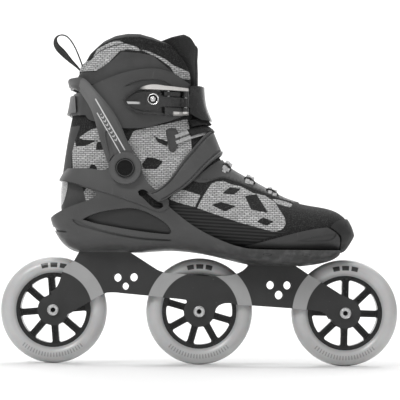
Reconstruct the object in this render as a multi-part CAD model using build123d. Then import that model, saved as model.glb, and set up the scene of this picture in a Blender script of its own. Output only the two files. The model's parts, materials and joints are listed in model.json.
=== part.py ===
from build123d import *
import math
import os

os.makedirs("parts", exist_ok=True)

# Frame: millimetres, +X to the toe, +Z up, -Y to the outer side of a right skate.
# The origin is on the ground under the middle wheel.

# ---- driving dimensions ----
WHEEL_D = 100.0
WHEEL_W = 24.0
WHEEL_PITCH = 137.0
TYRE_SEAT_R = 35.0
HUB_WINDOW_R = 31.2
HUB_CORE_R = 14.5
SPOKES = 8
SPOKE_W = 6.4
SPOKE_START_DEG = {"rear": 5.0, "middle": 29.5, "front": 44.0}
BEARING_OD, BEARING_ID, BEARING_W = 22.0, 8.0, 7.0
BALL_D, BALL_PITCH_R, BALLS = 3.97, 7.5, 7
GROOVE_R = 2.06
AXLE_R = 3.96
WALL_IN, WALL_OUT = 13.2, 16.4
BOSS_R = 14.4
BOLT_X = (-94.0, 71.0)
REAR_PAD_Z, FRONT_PAD_Z = 104.7, 93.8
PIVOT = (-70.0, 182.0)
PIVOT_PAD_Y = 46.8
ARM_IN_Y, ARM_OUT_Y = 47.2, 51.2
PIVOT_SHAFT_R = 4.0
FLEX_DEG = (30.0, 36.5, 171.0, 176.0)
LINER_GAP = 0.4
LEVER_PIN = (-15.0, 9.6)
PAWL_PIN = (-31.0, 9.2)

WHEEL_X = {"rear": -WHEEL_PITCH, "middle": 0.0, "front": WHEEL_PITCH}
AXLE_Z = WHEEL_D / 2

# Boot stations from toe to collar: sole or heel point, ridge or shin point (x, z),
# half width, sideways lean, place of the widest point, bottom and top roundness.
BOOT = [
    ((137.1, 112.3), (143.1, 122.8), 17.0, 4.0, 0.50, 2.3, 2.3),
    ((132.4, 108.0), (140.7, 133.2), 30.0, 3.5, 0.48, 2.6, 2.3),
    ((123.0, 106.6), (133.0, 142.3), 38.0, 3.0, 0.44, 2.9, 2.2),
    ((89.9, 104.9), (97.0, 152.0), 49.5, 1.0, 0.37, 3.4, 2.0),
    ((37.9, 106.4), (52.3, 172.3), 50.0, 0.0, 0.34, 3.3, 1.85),
    ((-18.8, 111.9), (23.7, 190.4), 44.5, 0.0, 0.36, 3.1, 1.9),
    ((-85.0, 112.6), (9.2, 217.6), 42.0, 0.0, 0.40, 2.8, 2.0),
    ((-109.6, 115.1), (4.4, 228.9), 41.0, 0.0, 0.42, 2.6, 2.0),
    ((-123.9, 125.3), (0.5, 238.3), 40.2, 0.0, 0.43, 2.4, 2.05),
    ((-131.0, 142.3), (-1.5, 247.8), 39.8, 0.0, 0.44, 2.3, 2.1),
    ((-130.0, 182.0), (-3.1, 262.9), 41.0, 0.0, 0.46, 2.2, 2.2),
    ((-124.1, 221.7), (-3.3, 279.9), 43.8, 0.0, 0.48, 2.2, 2.3),
    ((-117.9, 259.6), (-3.6, 301.6), 46.0, 0.0, 0.49, 2.2, 2.3),
    ((-109.0, 305.1), (-9.2, 339.4), 46.8, 0.0, 0.50, 2.2, 2.3),
]

# Chassis stations, outside of the hard shell, in the same order and form.
HULL = [
    ((134.0, 107.5), (147.5, 124.0), 30.0, 3.5, 0.46, 3.0, 2.3),
    ((131.0, 104.0), (145.0, 136.0), 37.0, 3.5, 0.44, 3.2, 2.3),
    ((125.5, 100.4), (136.0, 147.0), 44.5, 3.0, 0.42, 3.4, 2.2),
    ((92.0, 93.8), (99.5, 157.5), 55.0, 1.0, 0.38, 3.8, 2.0),
    ((42.0, 95.6), (55.5, 177.5), 55.0, 0.0, 0.37, 3.7, 1.85),
    ((-2.0, 104.8), (28.5, 195.0), 49.8, 0.0, 0.38, 3.5, 1.9),
    ((-66.0, 104.9), (14.0, 222.0), 46.8, 0.0, 0.41, 3.1, 2.0),
    ((-98.0, 104.4), (9.5, 233.0), 46.0, 0.0, 0.43, 2.9, 2.0),
    ((-121.5, 107.0), (6.0, 243.0), 45.2, 0.0, 0.44, 2.7, 2.05),
    ((-134.5, 119.5), (4.0, 252.0), 44.8, 0.0, 0.45, 2.5, 2.1),
    ((-141.3, 135.0), (3.0, 259.5), 44.8, 0.0, 0.46, 2.4, 2.15),
    ((-140.6, 156.0), (2.4, 267.0), 45.2, 0.0, 0.47, 2.3, 2.2),
    ((-134.0, 199.0), (1.8, 285.0), 47.4, 0.0, 0.48, 2.3, 2.3),
]
SECTION_POINTS = 20
MADE = {}


# ---- helpers ----
def section_points(station, grow, slide=0.0):
    """Points of one closed boot section, grown outward and slid toe-ward along its normal."""
    (bx, bz), (tx, tz), half, lean, widest, n_low, n_high = station
    length = math.hypot(tx - bx, tz - bz)
    dx, dz = (tx - bx) / length, (tz - bz) / length
    bx, bz = bx - dx * grow + dz * slide, bz - dz * grow - dx * slide
    full = length + 2 * grow
    points = []
    for k in range(SECTION_POINTS):
        angle = 2 * math.pi * k / SECTION_POINTS
        c, s = math.cos(angle), math.sin(angle)
        if c >= 0:
            along = widest * (1 - c ** (2 / n_low))
            side = abs(s) ** (2 / n_low)
        else:
            along = widest + (1 - widest) * (-c) ** (2 / n_high)
            side = abs(s) ** (2 / n_high)
        y = lean + math.copysign((half + grow) * side, s)
        points.append(Vector(bx + dx * full * along, y, bz + dz * full * along))
    return points


def section(station, grow, slide=0.0):
    return Wire([Edge.make_spline(section_points(station, grow, slide), periodic=True)])


def boot(grow):
    """Solid boot shape, grown outward by grow; the toe end moves by the same amount."""
    if ("boot", grow) not in MADE:
        first = 1 if grow < -6 else 0
        wires = [section(s, grow, grow if i == 0 else 0.0) for i, s in enumerate(BOOT)]
        MADE["boot", grow] = Solid.make_loft(wires[first:])
    return MADE["boot", grow]


def hull(grow):
    """Solid outside shape of the chassis, grown outward by grow."""
    if ("hull", grow) not in MADE:
        MADE["hull", grow] = Solid.make_loft([section(s, grow) for s in HULL])
    return MADE["hull", grow]


def half_width(x, z, grow=0.0):
    """Half width of the boot at a point of its side view."""
    best = None
    for a, b in zip(BOOT, BOOT[1:]):
        lo, hi = 0.0, 1.0
        if _side(a, b, lo, x, z) * _side(a, b, hi, x, z) > 0:
            continue
        for _ in range(30):
            mid = (lo + hi) / 2
            if _side(a, b, lo, x, z) * _side(a, b, mid, x, z) <= 0:
                hi = mid
            else:
                lo = mid
        best = _mix(a, b, lo)
        break
    if best is None:
        return 0.0
    (bx, bz), (tx, tz), half, _, widest, n_low, n_high = best
    length = math.hypot(tx - bx, tz - bz)
    along = ((x - bx) * (tx - bx) + (z - bz) * (tz - bz)) / length + grow
    t = along / (length + 2 * grow)
    if not 0 < t < 1:
        return 0.0
    if t < widest:
        side = (1 - (1 - t / widest) ** n_low) ** (1 / n_low)
    else:
        side = (1 - ((t - widest) / (1 - widest)) ** n_high) ** (1 / n_high)
    return (half + grow) * side


def _mix(a, b, f):
    mixed = []
    for p, q in zip(a, b):
        if isinstance(p, tuple):
            mixed.append((p[0] + (q[0] - p[0]) * f, p[1] + (q[1] - p[1]) * f))
        else:
            mixed.append(p + (q - p) * f)
    return mixed


def _side(a, b, f, x, z):
    (bx, bz), (tx, tz) = _mix(a, b, f)[:2]
    return (tx - bx) * (z - bz) - (tz - bz) * (x - bx)


def outline(*runs):
    """Closed face in the XZ plane: runs of 3 or more points are smooth, others straight."""
    edges = []
    ends = []
    for run in runs:
        points = [Vector(x, 0, z) for x, z in run]
        if len(points) > 2:
            edges.append(Edge.make_spline(points))
        else:
            edges.append(Edge.make_line(points[0], points[-1]))
        ends.append((points[0], points[-1]))
    joins = []
    for (_, a), (b, _) in zip(ends, ends[1:] + ends[:1]):
        if (a - b).length > 1e-6:
            joins.append(Edge.make_line(a, b))
    return Face(Wire(edges + joins))


def polygon(points):
    """Closed face in the XZ plane with straight sides."""
    return Face(Wire.make_polygon([Vector(x, 0, z) for x, z in points], close=True))


def prism(face, y0=-80.0, y1=80.0):
    """The face pushed through the skate from y0 to y1."""
    return Solid.extrude(face.moved(Location((0, y0, 0))), Vector(0, y1 - y0, 0))


def rod(x, z, radius, y0, y1):
    """Cylinder along Y."""
    low, high = min(y0, y1), max(y0, y1)
    return Solid.make_cylinder(radius, high - low, Plane((x, low, z), z_dir=(0, 1, 0)))


def post(x, y, radius, z0, z1):
    """Cylinder along Z."""
    return Solid.make_cylinder(radius, z1 - z0, Plane((x, y, z0)))


def block(x0, x1, y0, y1, z0, z1):
    return Solid.make_box(x1 - x0, y1 - y0, z1 - z0, Plane((x0, y0, z0)))


def ring(x, z, profile):
    """Profile of (radius, y) pairs turned about the axle at (x, z)."""
    wire = Wire.make_polygon([Vector(x + r, y, z) for r, y in profile], close=True)
    return Solid.revolve(Face(wire), 360, Axis((x, 0, z), (0, 1, 0)))


def solids(*shapes):
    """Every solid of the given shapes, as one group."""
    found = []
    for shape in shapes:
        for item in shape if isinstance(shape, (list, tuple, ShapeList)) else [shape]:
            found += item.solids()
    return Compound(found)


def both_sides(maker):
    return [maker(-1), maker(1)]


def skin(inner, outer, face, y0=-80.0, y1=80.0):
    """Piece of the layer between two boot offsets, seen through a side-view outline."""
    return (boot(outer) & prism(face, y0, y1)) - boot(inner)


# ---- wheels ----
def tyre(x):
    seat = TYRE_SEAT_R
    crown = [(seat, 9.0), (37.0, 10.6), (39.0, 11.6), (41.0, 12.0)]
    half = []
    for k in range(1, 13):
        a = math.pi / 2 * k / 12
        half.append((41.0 + 9.0 * math.sin(a) ** 1.15, 12.0 * math.cos(a) ** 0.92))
    right = crown + half[:-1]
    points = right + [(WHEEL_D / 2, 0.0)] + [(r, -y) for r, y in reversed(right)]
    curve = [Vector(x + r, y, AXLE_Z) for r, y in points]
    edges = [Edge.make_spline(curve), Edge.make_line(curve[-1], curve[0])]
    return Solid.revolve(Face(Wire(edges)), 360, Axis((x, 0, AXLE_Z), (0, 1, 0)))


def spoke_window(start):
    """One gap between two spokes, with rounded corners, in the plane y = 0."""
    step = 2 * math.pi / SPOKES
    half = SPOKE_W / 2
    corners = []
    for radius, side in ((HUB_CORE_R, 0), (HUB_WINDOW_R, 0), (HUB_WINDOW_R, 1), (HUB_CORE_R, 1)):
        lean = math.asin(half / radius)
        angle = start + (step - lean if side else lean)
        corners.append((radius, angle))
    p = [Vector(r * math.cos(a), 0, r * math.sin(a)) for r, a in corners]
    mid = start + step / 2
    outer = Vector(HUB_WINDOW_R * math.cos(mid), 0, HUB_WINDOW_R * math.sin(mid))
    inner = Vector(HUB_CORE_R * math.cos(mid), 0, HUB_CORE_R * math.sin(mid))
    edges = [
        Edge.make_line(p[0], p[1]),
        Edge.make_three_point_arc(p[1], outer, p[2]),
        Edge.make_line(p[2], p[3]),
        Edge.make_three_point_arc(p[3], inner, p[0]),
    ]
    face = Face(Wire(edges))
    return face.fillet_2d(2.0, face.vertices())


def hub(x, start_deg):
    outer = ring(0, 0, [(10.9, 6), (TYRE_SEAT_R, 6), (TYRE_SEAT_R, -6), (10.9, -6)])
    rim = ring(0, 0, [(31.0, 9), (TYRE_SEAT_R, 9), (TYRE_SEAT_R, -9), (31.0, -9)])
    core = ring(0, 0, [(10.8, 11.9), (HUB_CORE_R, 11.9), (HUB_CORE_R, -11.9), (10.8, -11.9)])
    body = outer
    first = math.radians(start_deg)
    for k in range(SPOKES):
        body -= prism(spoke_window(first + 2 * math.pi * k / SPOKES), -20, 20)
    for k in range(SPOKES):
        turn = math.degrees(first) + 360 / SPOKES * k
        for y0, y1 in ((-7, -3.5), (3.5, 7)):
            groove = block(16.5, 29.5, y0, y1, -1.3, 1.3)
            body -= groove.rotate(Axis.Y, -turn)
    body = body + rim + core
    seat = BEARING_OD / 2
    body -= rod(0, 0, seat, 5.0, 20)
    body -= rod(0, 0, seat, -20, -5.0)
    body -= rod(0, 0, 9.6, -20, 20)
    return body.moved(Location((x, 0, AXLE_Z)))


def race(x, y, inner, outer):
    """One bearing ring with a groove for the balls."""
    w = BEARING_W / 2
    tube = ring(x, AXLE_Z, [(inner, y - w), (outer, y - w), (outer, y + w), (inner, y + w)])
    plane = Plane((x, y, AXLE_Z), z_dir=(0, 1, 0))
    return tube - Solid.make_torus(BALL_PITCH_R, GROOVE_R, plane)


def bearing_outer_rings(x):
    return solids([race(x, y, 9.0, BEARING_OD / 2) for y in (-8.5, 8.5)])


def bearing_balls(x):
    found = []
    for y in (-8.5, 8.5):
        for k in range(BALLS):
            a = 2 * math.pi * k / BALLS
            place = Plane((x + BALL_PITCH_R * math.cos(a), y, AXLE_Z + BALL_PITCH_R * math.sin(a)))
            found.append(Solid.make_sphere(BALL_D / 2, place))
    return solids(found)


def bearing_inner_rings():
    rings = []
    for x in WHEEL_X.values():
        rings += [race(x, y, BEARING_ID / 2, 6.05) for y in (-8.5, 8.5)]
    return solids(rings)


def bearing_spacers():
    spacers = []
    for x in WHEEL_X.values():
        spacers.append(ring(x, AXLE_Z, [(4.0, -5), (5.3, -5), (5.3, 5), (4.0, 5)]))
    return solids(spacers)


def hex_socket(x, z, across, y0, y1):
    r = across / math.sqrt(3)
    points = []
    for k in range(6):
        a = math.radians(60 * k + 30)
        points.append((x + r * math.cos(a), z + r * math.sin(a)))
    return prism(polygon(points), y0, y1)


def axle_bolts():
    bolts = []
    for x in WHEEL_X.values():
        bolt = rod(x, AXLE_Z, AXLE_R, -WALL_OUT, WALL_OUT)
        bolt += rod(x, AXLE_Z, 5.2, -WALL_OUT - 2.4, -WALL_OUT)
        bolt -= hex_socket(x, AXLE_Z, 5.0, -WALL_OUT - 3, -WALL_OUT + 0.4)
        bolt -= rod(x, AXLE_Z, 2.5, -2, WALL_OUT + 1)
        bolts.append(bolt)
    return solids(bolts)


def axle_screws():
    screws = []
    for x in WHEEL_X.values():
        screw = rod(x, AXLE_Z, 2.45, 0, WALL_OUT)
        screw += rod(x, AXLE_Z, 5.2, WALL_OUT, WALL_OUT + 2.4)
        screw -= hex_socket(x, AXLE_Z, 4.0, WALL_OUT + 0.4, WALL_OUT + 3)
        screws.append(screw)
    return solids(screws)


# ---- frame ----
def frame_side():
    """Side view of one frame wall, with its lightening holes."""
    face = outline(
        [(-65.4, REAR_PAD_Z), (-113.2, REAR_PAD_Z)],
        [(-117.6, 96.4), (-122.0, 93.6), (-125.4, 91.2), (-130.0, 81.0), (-140.0, 67.0)],
        [(-125.0, 45.0), (-88.3, 66.4)],
        [(-88.3, 66.4), (-80.5, 66.9), (-73.0, 66.3)],
        [(-47.6, 64.2), (-32.6, 62.4)],
        [(-32.6, 62.4), (-20.0, 61.6), (-12.3, 60.6)],
        [(-8.0, 45.0), (12.0, 45.0)],
        [(15.1, 49.5), (18.3, 55.6), (22.8, 57.6), (30.0, 58.0)],
        [(34.8, 56.6), (49.5, 56.1)],
        [(86.8, 53.9), (102.4, 52.6)],
        [(102.4, 52.6), (112.0, 51.6), (118.6, 49.0), (122.7, 44.1)],
        [(140.0, 42.0), (147.2, 59.4)],
        [(147.2, 59.4), (141.2, 63.4), (133.4, 67.0)],
        [(118.2, 76.4), (101.4, 86.3)],
        [(90.0, FRONT_PAD_Z), (45.8, FRONT_PAD_Z)],
        [(45.8, FRONT_PAD_Z), (35.1, 86.0), (25.0, 83.9), (8.0, 83.3), (-7.8, 84.3), (-24.0, 85.4)],
        [(-24.0, 85.4), (-33.5, 86.4), (-40.5, 89.0)],
    )
    return face


def frame_wall(y0, y1):
    wall = prism(frame_side(), y0, y1)
    for x in WHEEL_X.values():
        wall += rod(x, AXLE_Z, BOSS_R, y0, y1)
    return wall


def frame():
    body = frame_wall(-WALL_OUT, -WALL_IN) + frame_wall(WALL_IN, WALL_OUT)
    body += block(-112.6, -66.4, -WALL_IN - 0.5, WALL_IN + 0.5, REAR_PAD_Z - 5.0, REAR_PAD_Z)
    body += block(46.4, 89.4, -WALL_IN - 0.5, WALL_IN + 0.5, FRONT_PAD_Z - 5.0, FRONT_PAD_Z)
    for x in WHEEL_X.values():
        body += rod(x, AXLE_Z, 6.0, WALL_IN + 0.2, 12.05)
        body += rod(x, AXLE_Z, 6.0, -WALL_IN - 0.2, -12.05)
    for x in WHEEL_X.values():
        body -= rod(x, AXLE_Z, 4.05, -30, 30)
    for x, z in ((-77.1, 80.9), (-61.9, 81.4), (66.7, 75.4), (82.6, 75.4)):
        body -= rod(x, z, 3.9, -30, 30)
    body -= rod(-69.6, 72.9, 3.4, -30, 30)
    body -= rod(74.8, 66.2, 4.1, -30, 30)
    for x in BOLT_X:
        slot = block(x - 3, x + 3, -3.3, 3.3, 80, 110)
        body -= slot + post(x - 3, 0, 3.3, 80, 110) + post(x + 3, 0, 3.3, 80, 110)
    return body


def frame_bolts():
    bolts = []
    for x, pad in zip(BOLT_X, (REAR_PAD_Z, FRONT_PAD_Z)):
        bolt = post(x, 0, 2.95, pad - 6.2, pad + 6.0)
        bolt += post(x, 0, 5.4, pad - 10.2, pad - 6.2)
        corners = []
        for k in range(6):
            angle = math.radians(60 * k)
            corners.append(Vector(x + 2.9 * math.cos(angle), 2.9 * math.sin(angle), pad - 11))
        hexagon = Face(Wire.make_polygon(corners, close=True))
        bolt -= Solid.extrude(hexagon, Vector(0, 0, 3.4))
        bolts.append(bolt)
    return solids(bolts)


def frame_washers():
    washers = []
    for x, pad in zip(BOLT_X, (REAR_PAD_Z, FRONT_PAD_Z)):
        washers.append(post(x, 0, 8.0, pad - 6.2, pad - 5.0) - post(x, 0, 3.2, pad - 7, pad - 4))
    return solids(washers)


def frame_nuts():
    nuts = []
    for x, pad in zip(BOLT_X, (REAR_PAD_Z, FRONT_PAD_Z)):
        nut = post(x, 0, 4.4, pad + 1.5, pad + 6.0) + post(x, 0, 8.0, pad + 6.0, pad + 7.4)
        nuts.append(nut - post(x, 0, 2.95, pad, pad + 8))
    return solids(nuts)


# ---- chassis ----
def chassis_side():
    """Side view of the hard shell: low at the toe, a heel cup, and a ring behind the ankle."""
    return outline(
        [(130.6, 80.0), (130.6, 108.6)],
        [(130.6, 108.6), (105.0, 108.2), (83.3, 108.1), (60.0, 108.2), (45.4, 108.8)],
        [(45.4, 108.8), (37.0, 110.3), (18.5, 116.6), (0.0, 125.6), (-18.7, 138.3), (-29.5, 147.6)],
        [(-29.5, 147.6), (-29.6, 153.0), (-37.0, 159.6), (-46.5, 166.4), (-51.0, 172.0), (-54.8, 182.0)],
        [(-54.8, 183.0), (-59.2, 192.8), (-70.0, 197.2), (-80.8, 192.8), (-85.2, 183.0)],
        [(-85.2, 183.0), (-89.5, 180.4), (-98.0, 180.9), (-111.8, 181.9), (-134.0, 182.8), (-150.0, 183.0)],
        [(-150.0, 173.4), (-136.5, 172.2)],
        [(-136.5, 172.2), (-128.3, 170.5), (-120.9, 168.7), (-111.6, 165.6), (-100.2, 161.6)],
        [(-100.2, 161.6), (-96.9, 158.8), (-98.4, 155.4)],
        [(-98.4, 155.4), (-104.1, 152.2), (-116.0, 148.2), (-129.0, 143.0), (-137.0, 138.8), (-145.0, 132.0)],
        [(-160.0, 120.0), (-160.0, 80.0)],
    )


def raised_side():
    """Upper flange and ring, which stand a little proud of the lower shell."""
    return outline(
        [(-150.0, 183.5), (-150.0, 174.5)],
        [(-150.0, 174.5), (-136.5, 173.6), (-128.5, 171.0), (-119.0, 168.6), (-107.3, 165.2), (-95.4, 161.3),
         (-83.7, 157.9), (-69.8, 153.3), (-55.8, 148.4), (-44.0, 143.6)],
        [(-36.0, 141.8), (-28.0, 147.0)],
        [(-26.0, 153.0), (-45.0, 169.0)],
        [(-52.0, 200.0), (-88.0, 200.0)],
        [(-88.0, 186.0), (-95.0, 183.5)],
    )


def leaf(shrink=1.0):
    points_top = [(-109.4, 134.4), (-92.8, 141.3), (-76.2, 144.2), (-61.4, 144.9), (-50.3, 141.8),
                  (-39.1, 136.3), (-29.7, 129.0), (-26.6, 123.6)]
    points_low = [(-28.7, 121.4), (-46.3, 122.8), (-74.1, 126.7), (-97.3, 130.8)]
    cx, cz = -62.0, 132.5
    top = [(cx + (x - cx) * shrink, cz + (z - cz) * shrink) for x, z in points_top]
    low = [(cx + (x - cx) * shrink, cz + (z - cz) * shrink) for x, z in points_low]
    return outline(top, low)


def slot_side():
    return outline(
        [(-58.0, 160.6), (-54.2, 162.6), (-44.8, 156.6), (-35.4, 150.2)],
        [(-34.2, 147.2), (-39.1, 144.6), (-49.4, 151.0), (-57.0, 157.3)],
    )


def shell_groove():
    return outline(
        [(-119.2, 134.4), (-116.7, 131.2), (-107.4, 127.2), (-78.8, 120.1), (-55.5, 116.7), (-27.0, 115.4)],
        [(-27.0, 116.6), (-55.5, 118.9), (-78.8, 122.6), (-97.2, 127.0), (-107.4, 130.4), (-113.0, 133.6)],
    )


def heel_facet():
    return outline([(-150.0, 131.5), (-136.4, 127.4)], [(-136.4, 127.4), (-124.2, 122.6), (-135.0, 123.6)])


def chassis():
    side = prism(chassis_side())
    shell = hull(0.0) & side
    shell += hull(1.1) & side & prism(raised_side())
    for sign in (-1, 1):
        shell += rod(*PIVOT, 15.2, sign * 38.0, sign * PIVOT_PAD_Y)
    shell -= boot(LINER_GAP)
    shell += block(BOLT_X[0] - 19, BOLT_X[0] + 28, -16.4, 16.4, REAR_PAD_Z, REAR_PAD_Z + 5)
    shell += block(BOLT_X[1] - 26, BOLT_X[1] + 20, -16.4, 16.4, FRONT_PAD_Z, FRONT_PAD_Z + 5)
    shell -= block(-125, -50, -60, 60, 90, REAR_PAD_Z)
    shell -= block(42, 93, -60, 60, 85, FRONT_PAD_Z)
    shell -= prism(leaf())
    shell -= prism(slot_side())
    shell -= prism(shell_groove()) - hull(-1.1)
    shell -= prism(heel_facet()) - hull(-1.4)
    for sign in (-1, 1):
        shell -= rod(*PIVOT, 17.5, sign * PIVOT_PAD_Y, sign * 70)
        shell -= rod(*PIVOT, PIVOT_SHAFT_R, sign * 30, sign * 60)
        shell -= rod(*PIVOT, 7.2, sign * 30, sign * 43.6)
    for x, pad in zip(BOLT_X, (REAR_PAD_Z, FRONT_PAD_Z)):
        shell -= post(x, 0, 4.4, pad - 2, pad + 20)
        shell -= post(x, 0, 8.2, pad + 6.0, pad + 20)
    return shell


def window_inserts():
    return solids(skin(0.5, 2.0, leaf(0.985)))


# ---- boot, soft pieces ----
def ray(deg, reach):
    a = math.radians(deg)
    return (PIVOT[0] + reach * math.cos(a), PIVOT[1] + reach * math.sin(a))


def foot_side():
    front, back = ray(FLEX_DEG[0], 200), ray(FLEX_DEG[3], 200)
    return polygon([PIVOT, back, (back[0], 60), (260, 60), (260, front[1]), front])


def leg_side():
    front, back = ray(FLEX_DEG[1], 220), ray(FLEX_DEG[2], 220)
    return polygon([PIVOT, front, (front[0], 420), (back[0], 420), back])


def flex_side(a, b):
    return polygon([PIVOT, ray(a, 200), ray(b, 200)])


def ankle_core():
    return rod(*PIVOT, 4.5, -80, 80)


def lace_slot():
    """Side view of the opening that the laces cross, over the instep."""
    return polygon([(-6, 205), (10, 260), (60, 240), (110, 180), (93, 148), (72, 156), (48, 167), (22, 184)])


def upper():
    shell = (boot(0.0) & prism(foot_side())) - boot(-4.0)
    return shell - ankle_core() - prism(lace_slot(), -9.0, 9.0)


def tongue_lower():
    zone = polygon([(-14, 204), (-8, 216), ray(29.9, 140), (70, 240), (110, 180), (99, 146),
                    (74, 150), (48, 160), (20, 178), (4, 196)])
    piece = (boot(-4.4) & prism(zone, -26, 26) & prism(foot_side())) - boot(-9.0)
    return solids(piece)


def insole():
    zone = outline(
        [(128.0, 112.4), (108.8, 110.0), (89.9, 109.3), (66.3, 109.0), (37.9, 110.8), (9.5, 114.2),
         (-18.8, 116.2), (-51.9, 116.9), (-85.0, 117.0), (-118.0, 117.4)],
        [(-124.0, 121.4), (-85.0, 121.0), (-51.9, 120.9), (-18.8, 120.2), (9.5, 118.2), (37.9, 114.8),
         (66.3, 113.0), (89.9, 113.3), (108.8, 114.0), (127.0, 116.4)],
    )
    return boot(-4.6) & prism(zone)


def ankle_gusset():
    wedges = prism(flex_side(FLEX_DEG[0], FLEX_DEG[1])) + prism(flex_side(FLEX_DEG[2], FLEX_DEG[3]))
    return solids((boot(0.0) - boot(-4.0)) & wedges - ankle_core())


def collar_side():
    """Side view of the padded collar, up to its rolled top edge."""
    return outline(
        [(-150.0, 150.0), (-150.0, 272.0)],
        [(-150.0, 272.0), (-114.6, 272.6)],
        [(-114.6, 272.6), (-112.1, 286.2), (-107.5, 295.4), (-94.8, 304.5), (-82.8, 309.3),
         (-70.7, 311.6), (-58.7, 311.7), (-46.7, 309.0), (-35.0, 303.4)],
        [(-35.0, 303.4), (-24.6, 277.0), (-13.0, 255.0), (-8.0, 238.0), (-6.0, 200.0)],
        [(-6.0, 200.0), (-6.0, 150.0)],
    )


def collar():
    shell = (boot(0.0) & prism(collar_side()) & prism(leg_side())) - boot(-8.0)
    return shell - ankle_core()


def tongue_upper():
    side = outline(
        [(-34.6, 303.5), (-24.0, 306.8), (-15.3, 309.8), (-10.5, 308.2), (-6.0, 302.6), (8.0, 296.0)],
        [(30.0, 296.0), (30.0, 200.0)],
        [(-5.6, 200.0), (-7.6, 238.0), (-12.7, 255.1), (-24.3, 277.1), (-34.6, 303.5)],
    )
    return (boot(0.0) & prism(side) & prism(leg_side())) - boot(-8.0)


def pull_loop():
    """Woven tape sewn to the back of the collar and bent into a finger loop."""
    line = [(-113.9, 279.0), (-116.6, 277.0), (-122.9, 284.1), (-134.0, 294.6),
            (-139.9, 302.0), (-139.6, 307.8), (-135.6, 310.9), (-130.0, 310.2),
            (-124.6, 305.2), (-119.6, 296.4), (-115.2, 288.4), (-112.6, 288.6)]
    a = Edge.make_spline([Vector(x, 0, z) for x, z in line])
    near, far = [], []
    for k in range(33):
        p = a.position_at(k / 32)
        t = a.tangent_at(k / 32)
        near.append(p + Vector(-t.Z, 0, t.X) * 0.8)
        far.append(p - Vector(-t.Z, 0, t.X) * 0.8)
    edges = [Edge.make_spline(near), Edge.make_line(near[-1], far[-1])]
    edges += [Edge.make_spline(list(reversed(far))), Edge.make_line(far[0], near[0])]
    return prism(Face(Wire(edges)), -7, 7) - boot(0.05)


def heel_reflector():
    side = outline([(-150.0, 173.5), (-125.3, 171.6)],
                   [(-125.3, 171.6), (-124.6, 165.0), (-125.6, 159.9), (-127.4, 153.3), (-130.8, 147.0)],
                   [(-130.8, 147.0), (-150.0, 147.0)])
    return skin(0.05, 0.32, side)


def toe_bumper():
    side = outline([(131.2, 100.0), (131.2, 109.6)],
                   [(131.2, 109.6), (131.6, 116.0), (131.2, 121.4), (128.0, 125.0), (121.0, 130.0)],
                   [(121.0, 130.0), (127.0, 135.6), (134.0, 138.0)],
                   [(134.0, 138.0), (170.0, 140.0)], [(170.0, 140.0), (170.0, 100.0)])
    return skin(0.3, 1.9, side)


def toe_guards():
    side = outline([(41.0, 111.3), (64.8, 117.2), (92.4, 124.9), (117.9, 129.4)],
                   [(117.9, 129.4), (124.5, 125.8), (129.4, 120.8), (130.4, 114.0), (129.6, 109.4)],
                   [(129.6, 109.4), (82.4, 109.2)], [(82.4, 109.2), (46.0, 109.6)])
    leaf_side = outline([(89.7, 116.5), (110.9, 121.6), (127.0, 124.2)],
                        [(127.0, 124.2), (124.0, 119.4), (111.0, 116.6), (100.0, 115.8)])
    panels = skin(0.3, 1.7, side) - (prism(leaf_side) - boot(0.9))
    return solids(panels)


def lace_bands():
    """Flat lace where it crosses the instep, two runs at each pair of loops."""
    bands = []
    for x, z, lean in ((24.8, 186.4, 44), (46.5, 175.6, 32), (68.0, 166.2, 27)):
        for shift in (-2.3, 2.3):
            bands.append(lace_arch(x, z, lean, shift))
    return solids(bands)


def lace_arch(x, z, lean, shift):
    """One run of lace, bent over the ridge; lean is the ridge's slope in degrees."""
    a = math.radians(lean)
    tx, tz = math.cos(a), -math.sin(a)
    nx, nz = math.sin(a), math.cos(a)
    cx, cz = x + shift * tx, z + shift * tz
    depths = [-3.0 + 0.25 * k for k in range(70)]
    low, high = [], []
    for y in (-19.0, -15.0, -10.0, -5.0, 0.0, 5.0, 10.0, 15.0, 19.0):
        d = next(d for d in depths if inside(cx - nx * d, cz - nz * d, y))
        low.append((y, 0.7 - d))
        high.append((y, 2.0 - d))
    x0, z0 = cx - 1.6 * tx, cz - 1.6 * tz
    points = [Vector(x0 + nx * h, y, z0 + nz * h) for y, h in low + high[::-1]]
    wire = Wire.make_polygon(points, close=True)
    return Solid.extrude(Face(wire), Vector(3.2 * tx, 0, 3.2 * tz))


def inside(x, z, y):
    """True where the point lies in the boot."""
    return half_width(x, z) > abs(y)


# ---- instep strap ----
def instep_strap():
    main = outline([(-37.0, 163.4), (5.3, 219.5)], [(5.3, 219.5), (9.9, 221.4), (13.7, 215.9)],
                   [(13.7, 215.9), (23.5, 202.1)], [(23.5, 202.1), (19.0, 195.6), (7.0, 186.1)],
                   [(7.0, 186.1), (-16.3, 163.6)], [(-16.3, 163.6), (-24.6, 158.8)])
    strap = skin(0.6, 3.0, main)
    end = polygon([(-49.2, 160.0), (-35.0, 165.6), (-22.0, 157.8), (-39.0, 152.4)])
    over = (boot(8.2) & prism(end)) - hull(1.5)
    joint = skin(0.6, 8.2, polygon([(-37.0, 163.4), (-34.2, 167.4), (-20.4, 161.0), (-24.6, 157.4)]))
    return solids(strap + (over & boot(8.2)) + joint)


# ---- cuff ----
def arm_side():
    return outline(
        [(-84.4, 182.0), (-87.8, 191.2), (-93.5, 207.8), (-98.3, 224.3), (-103.1, 237.2), (-110.6, 249.2),
         (-116.3, 255.6), (-124.0, 258.0), (-130.0, 258.6)],
        [(-130.0, 266.4), (-118.0, 267.8), (-111.8, 266.7), (-101.5, 257.6), (-90.2, 244.8), (-80.9, 232.9),
         (-73.3, 219.1), (-67.6, 206.2), (-61.0, 196.1), (-55.6, 184.0)],
    )


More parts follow.
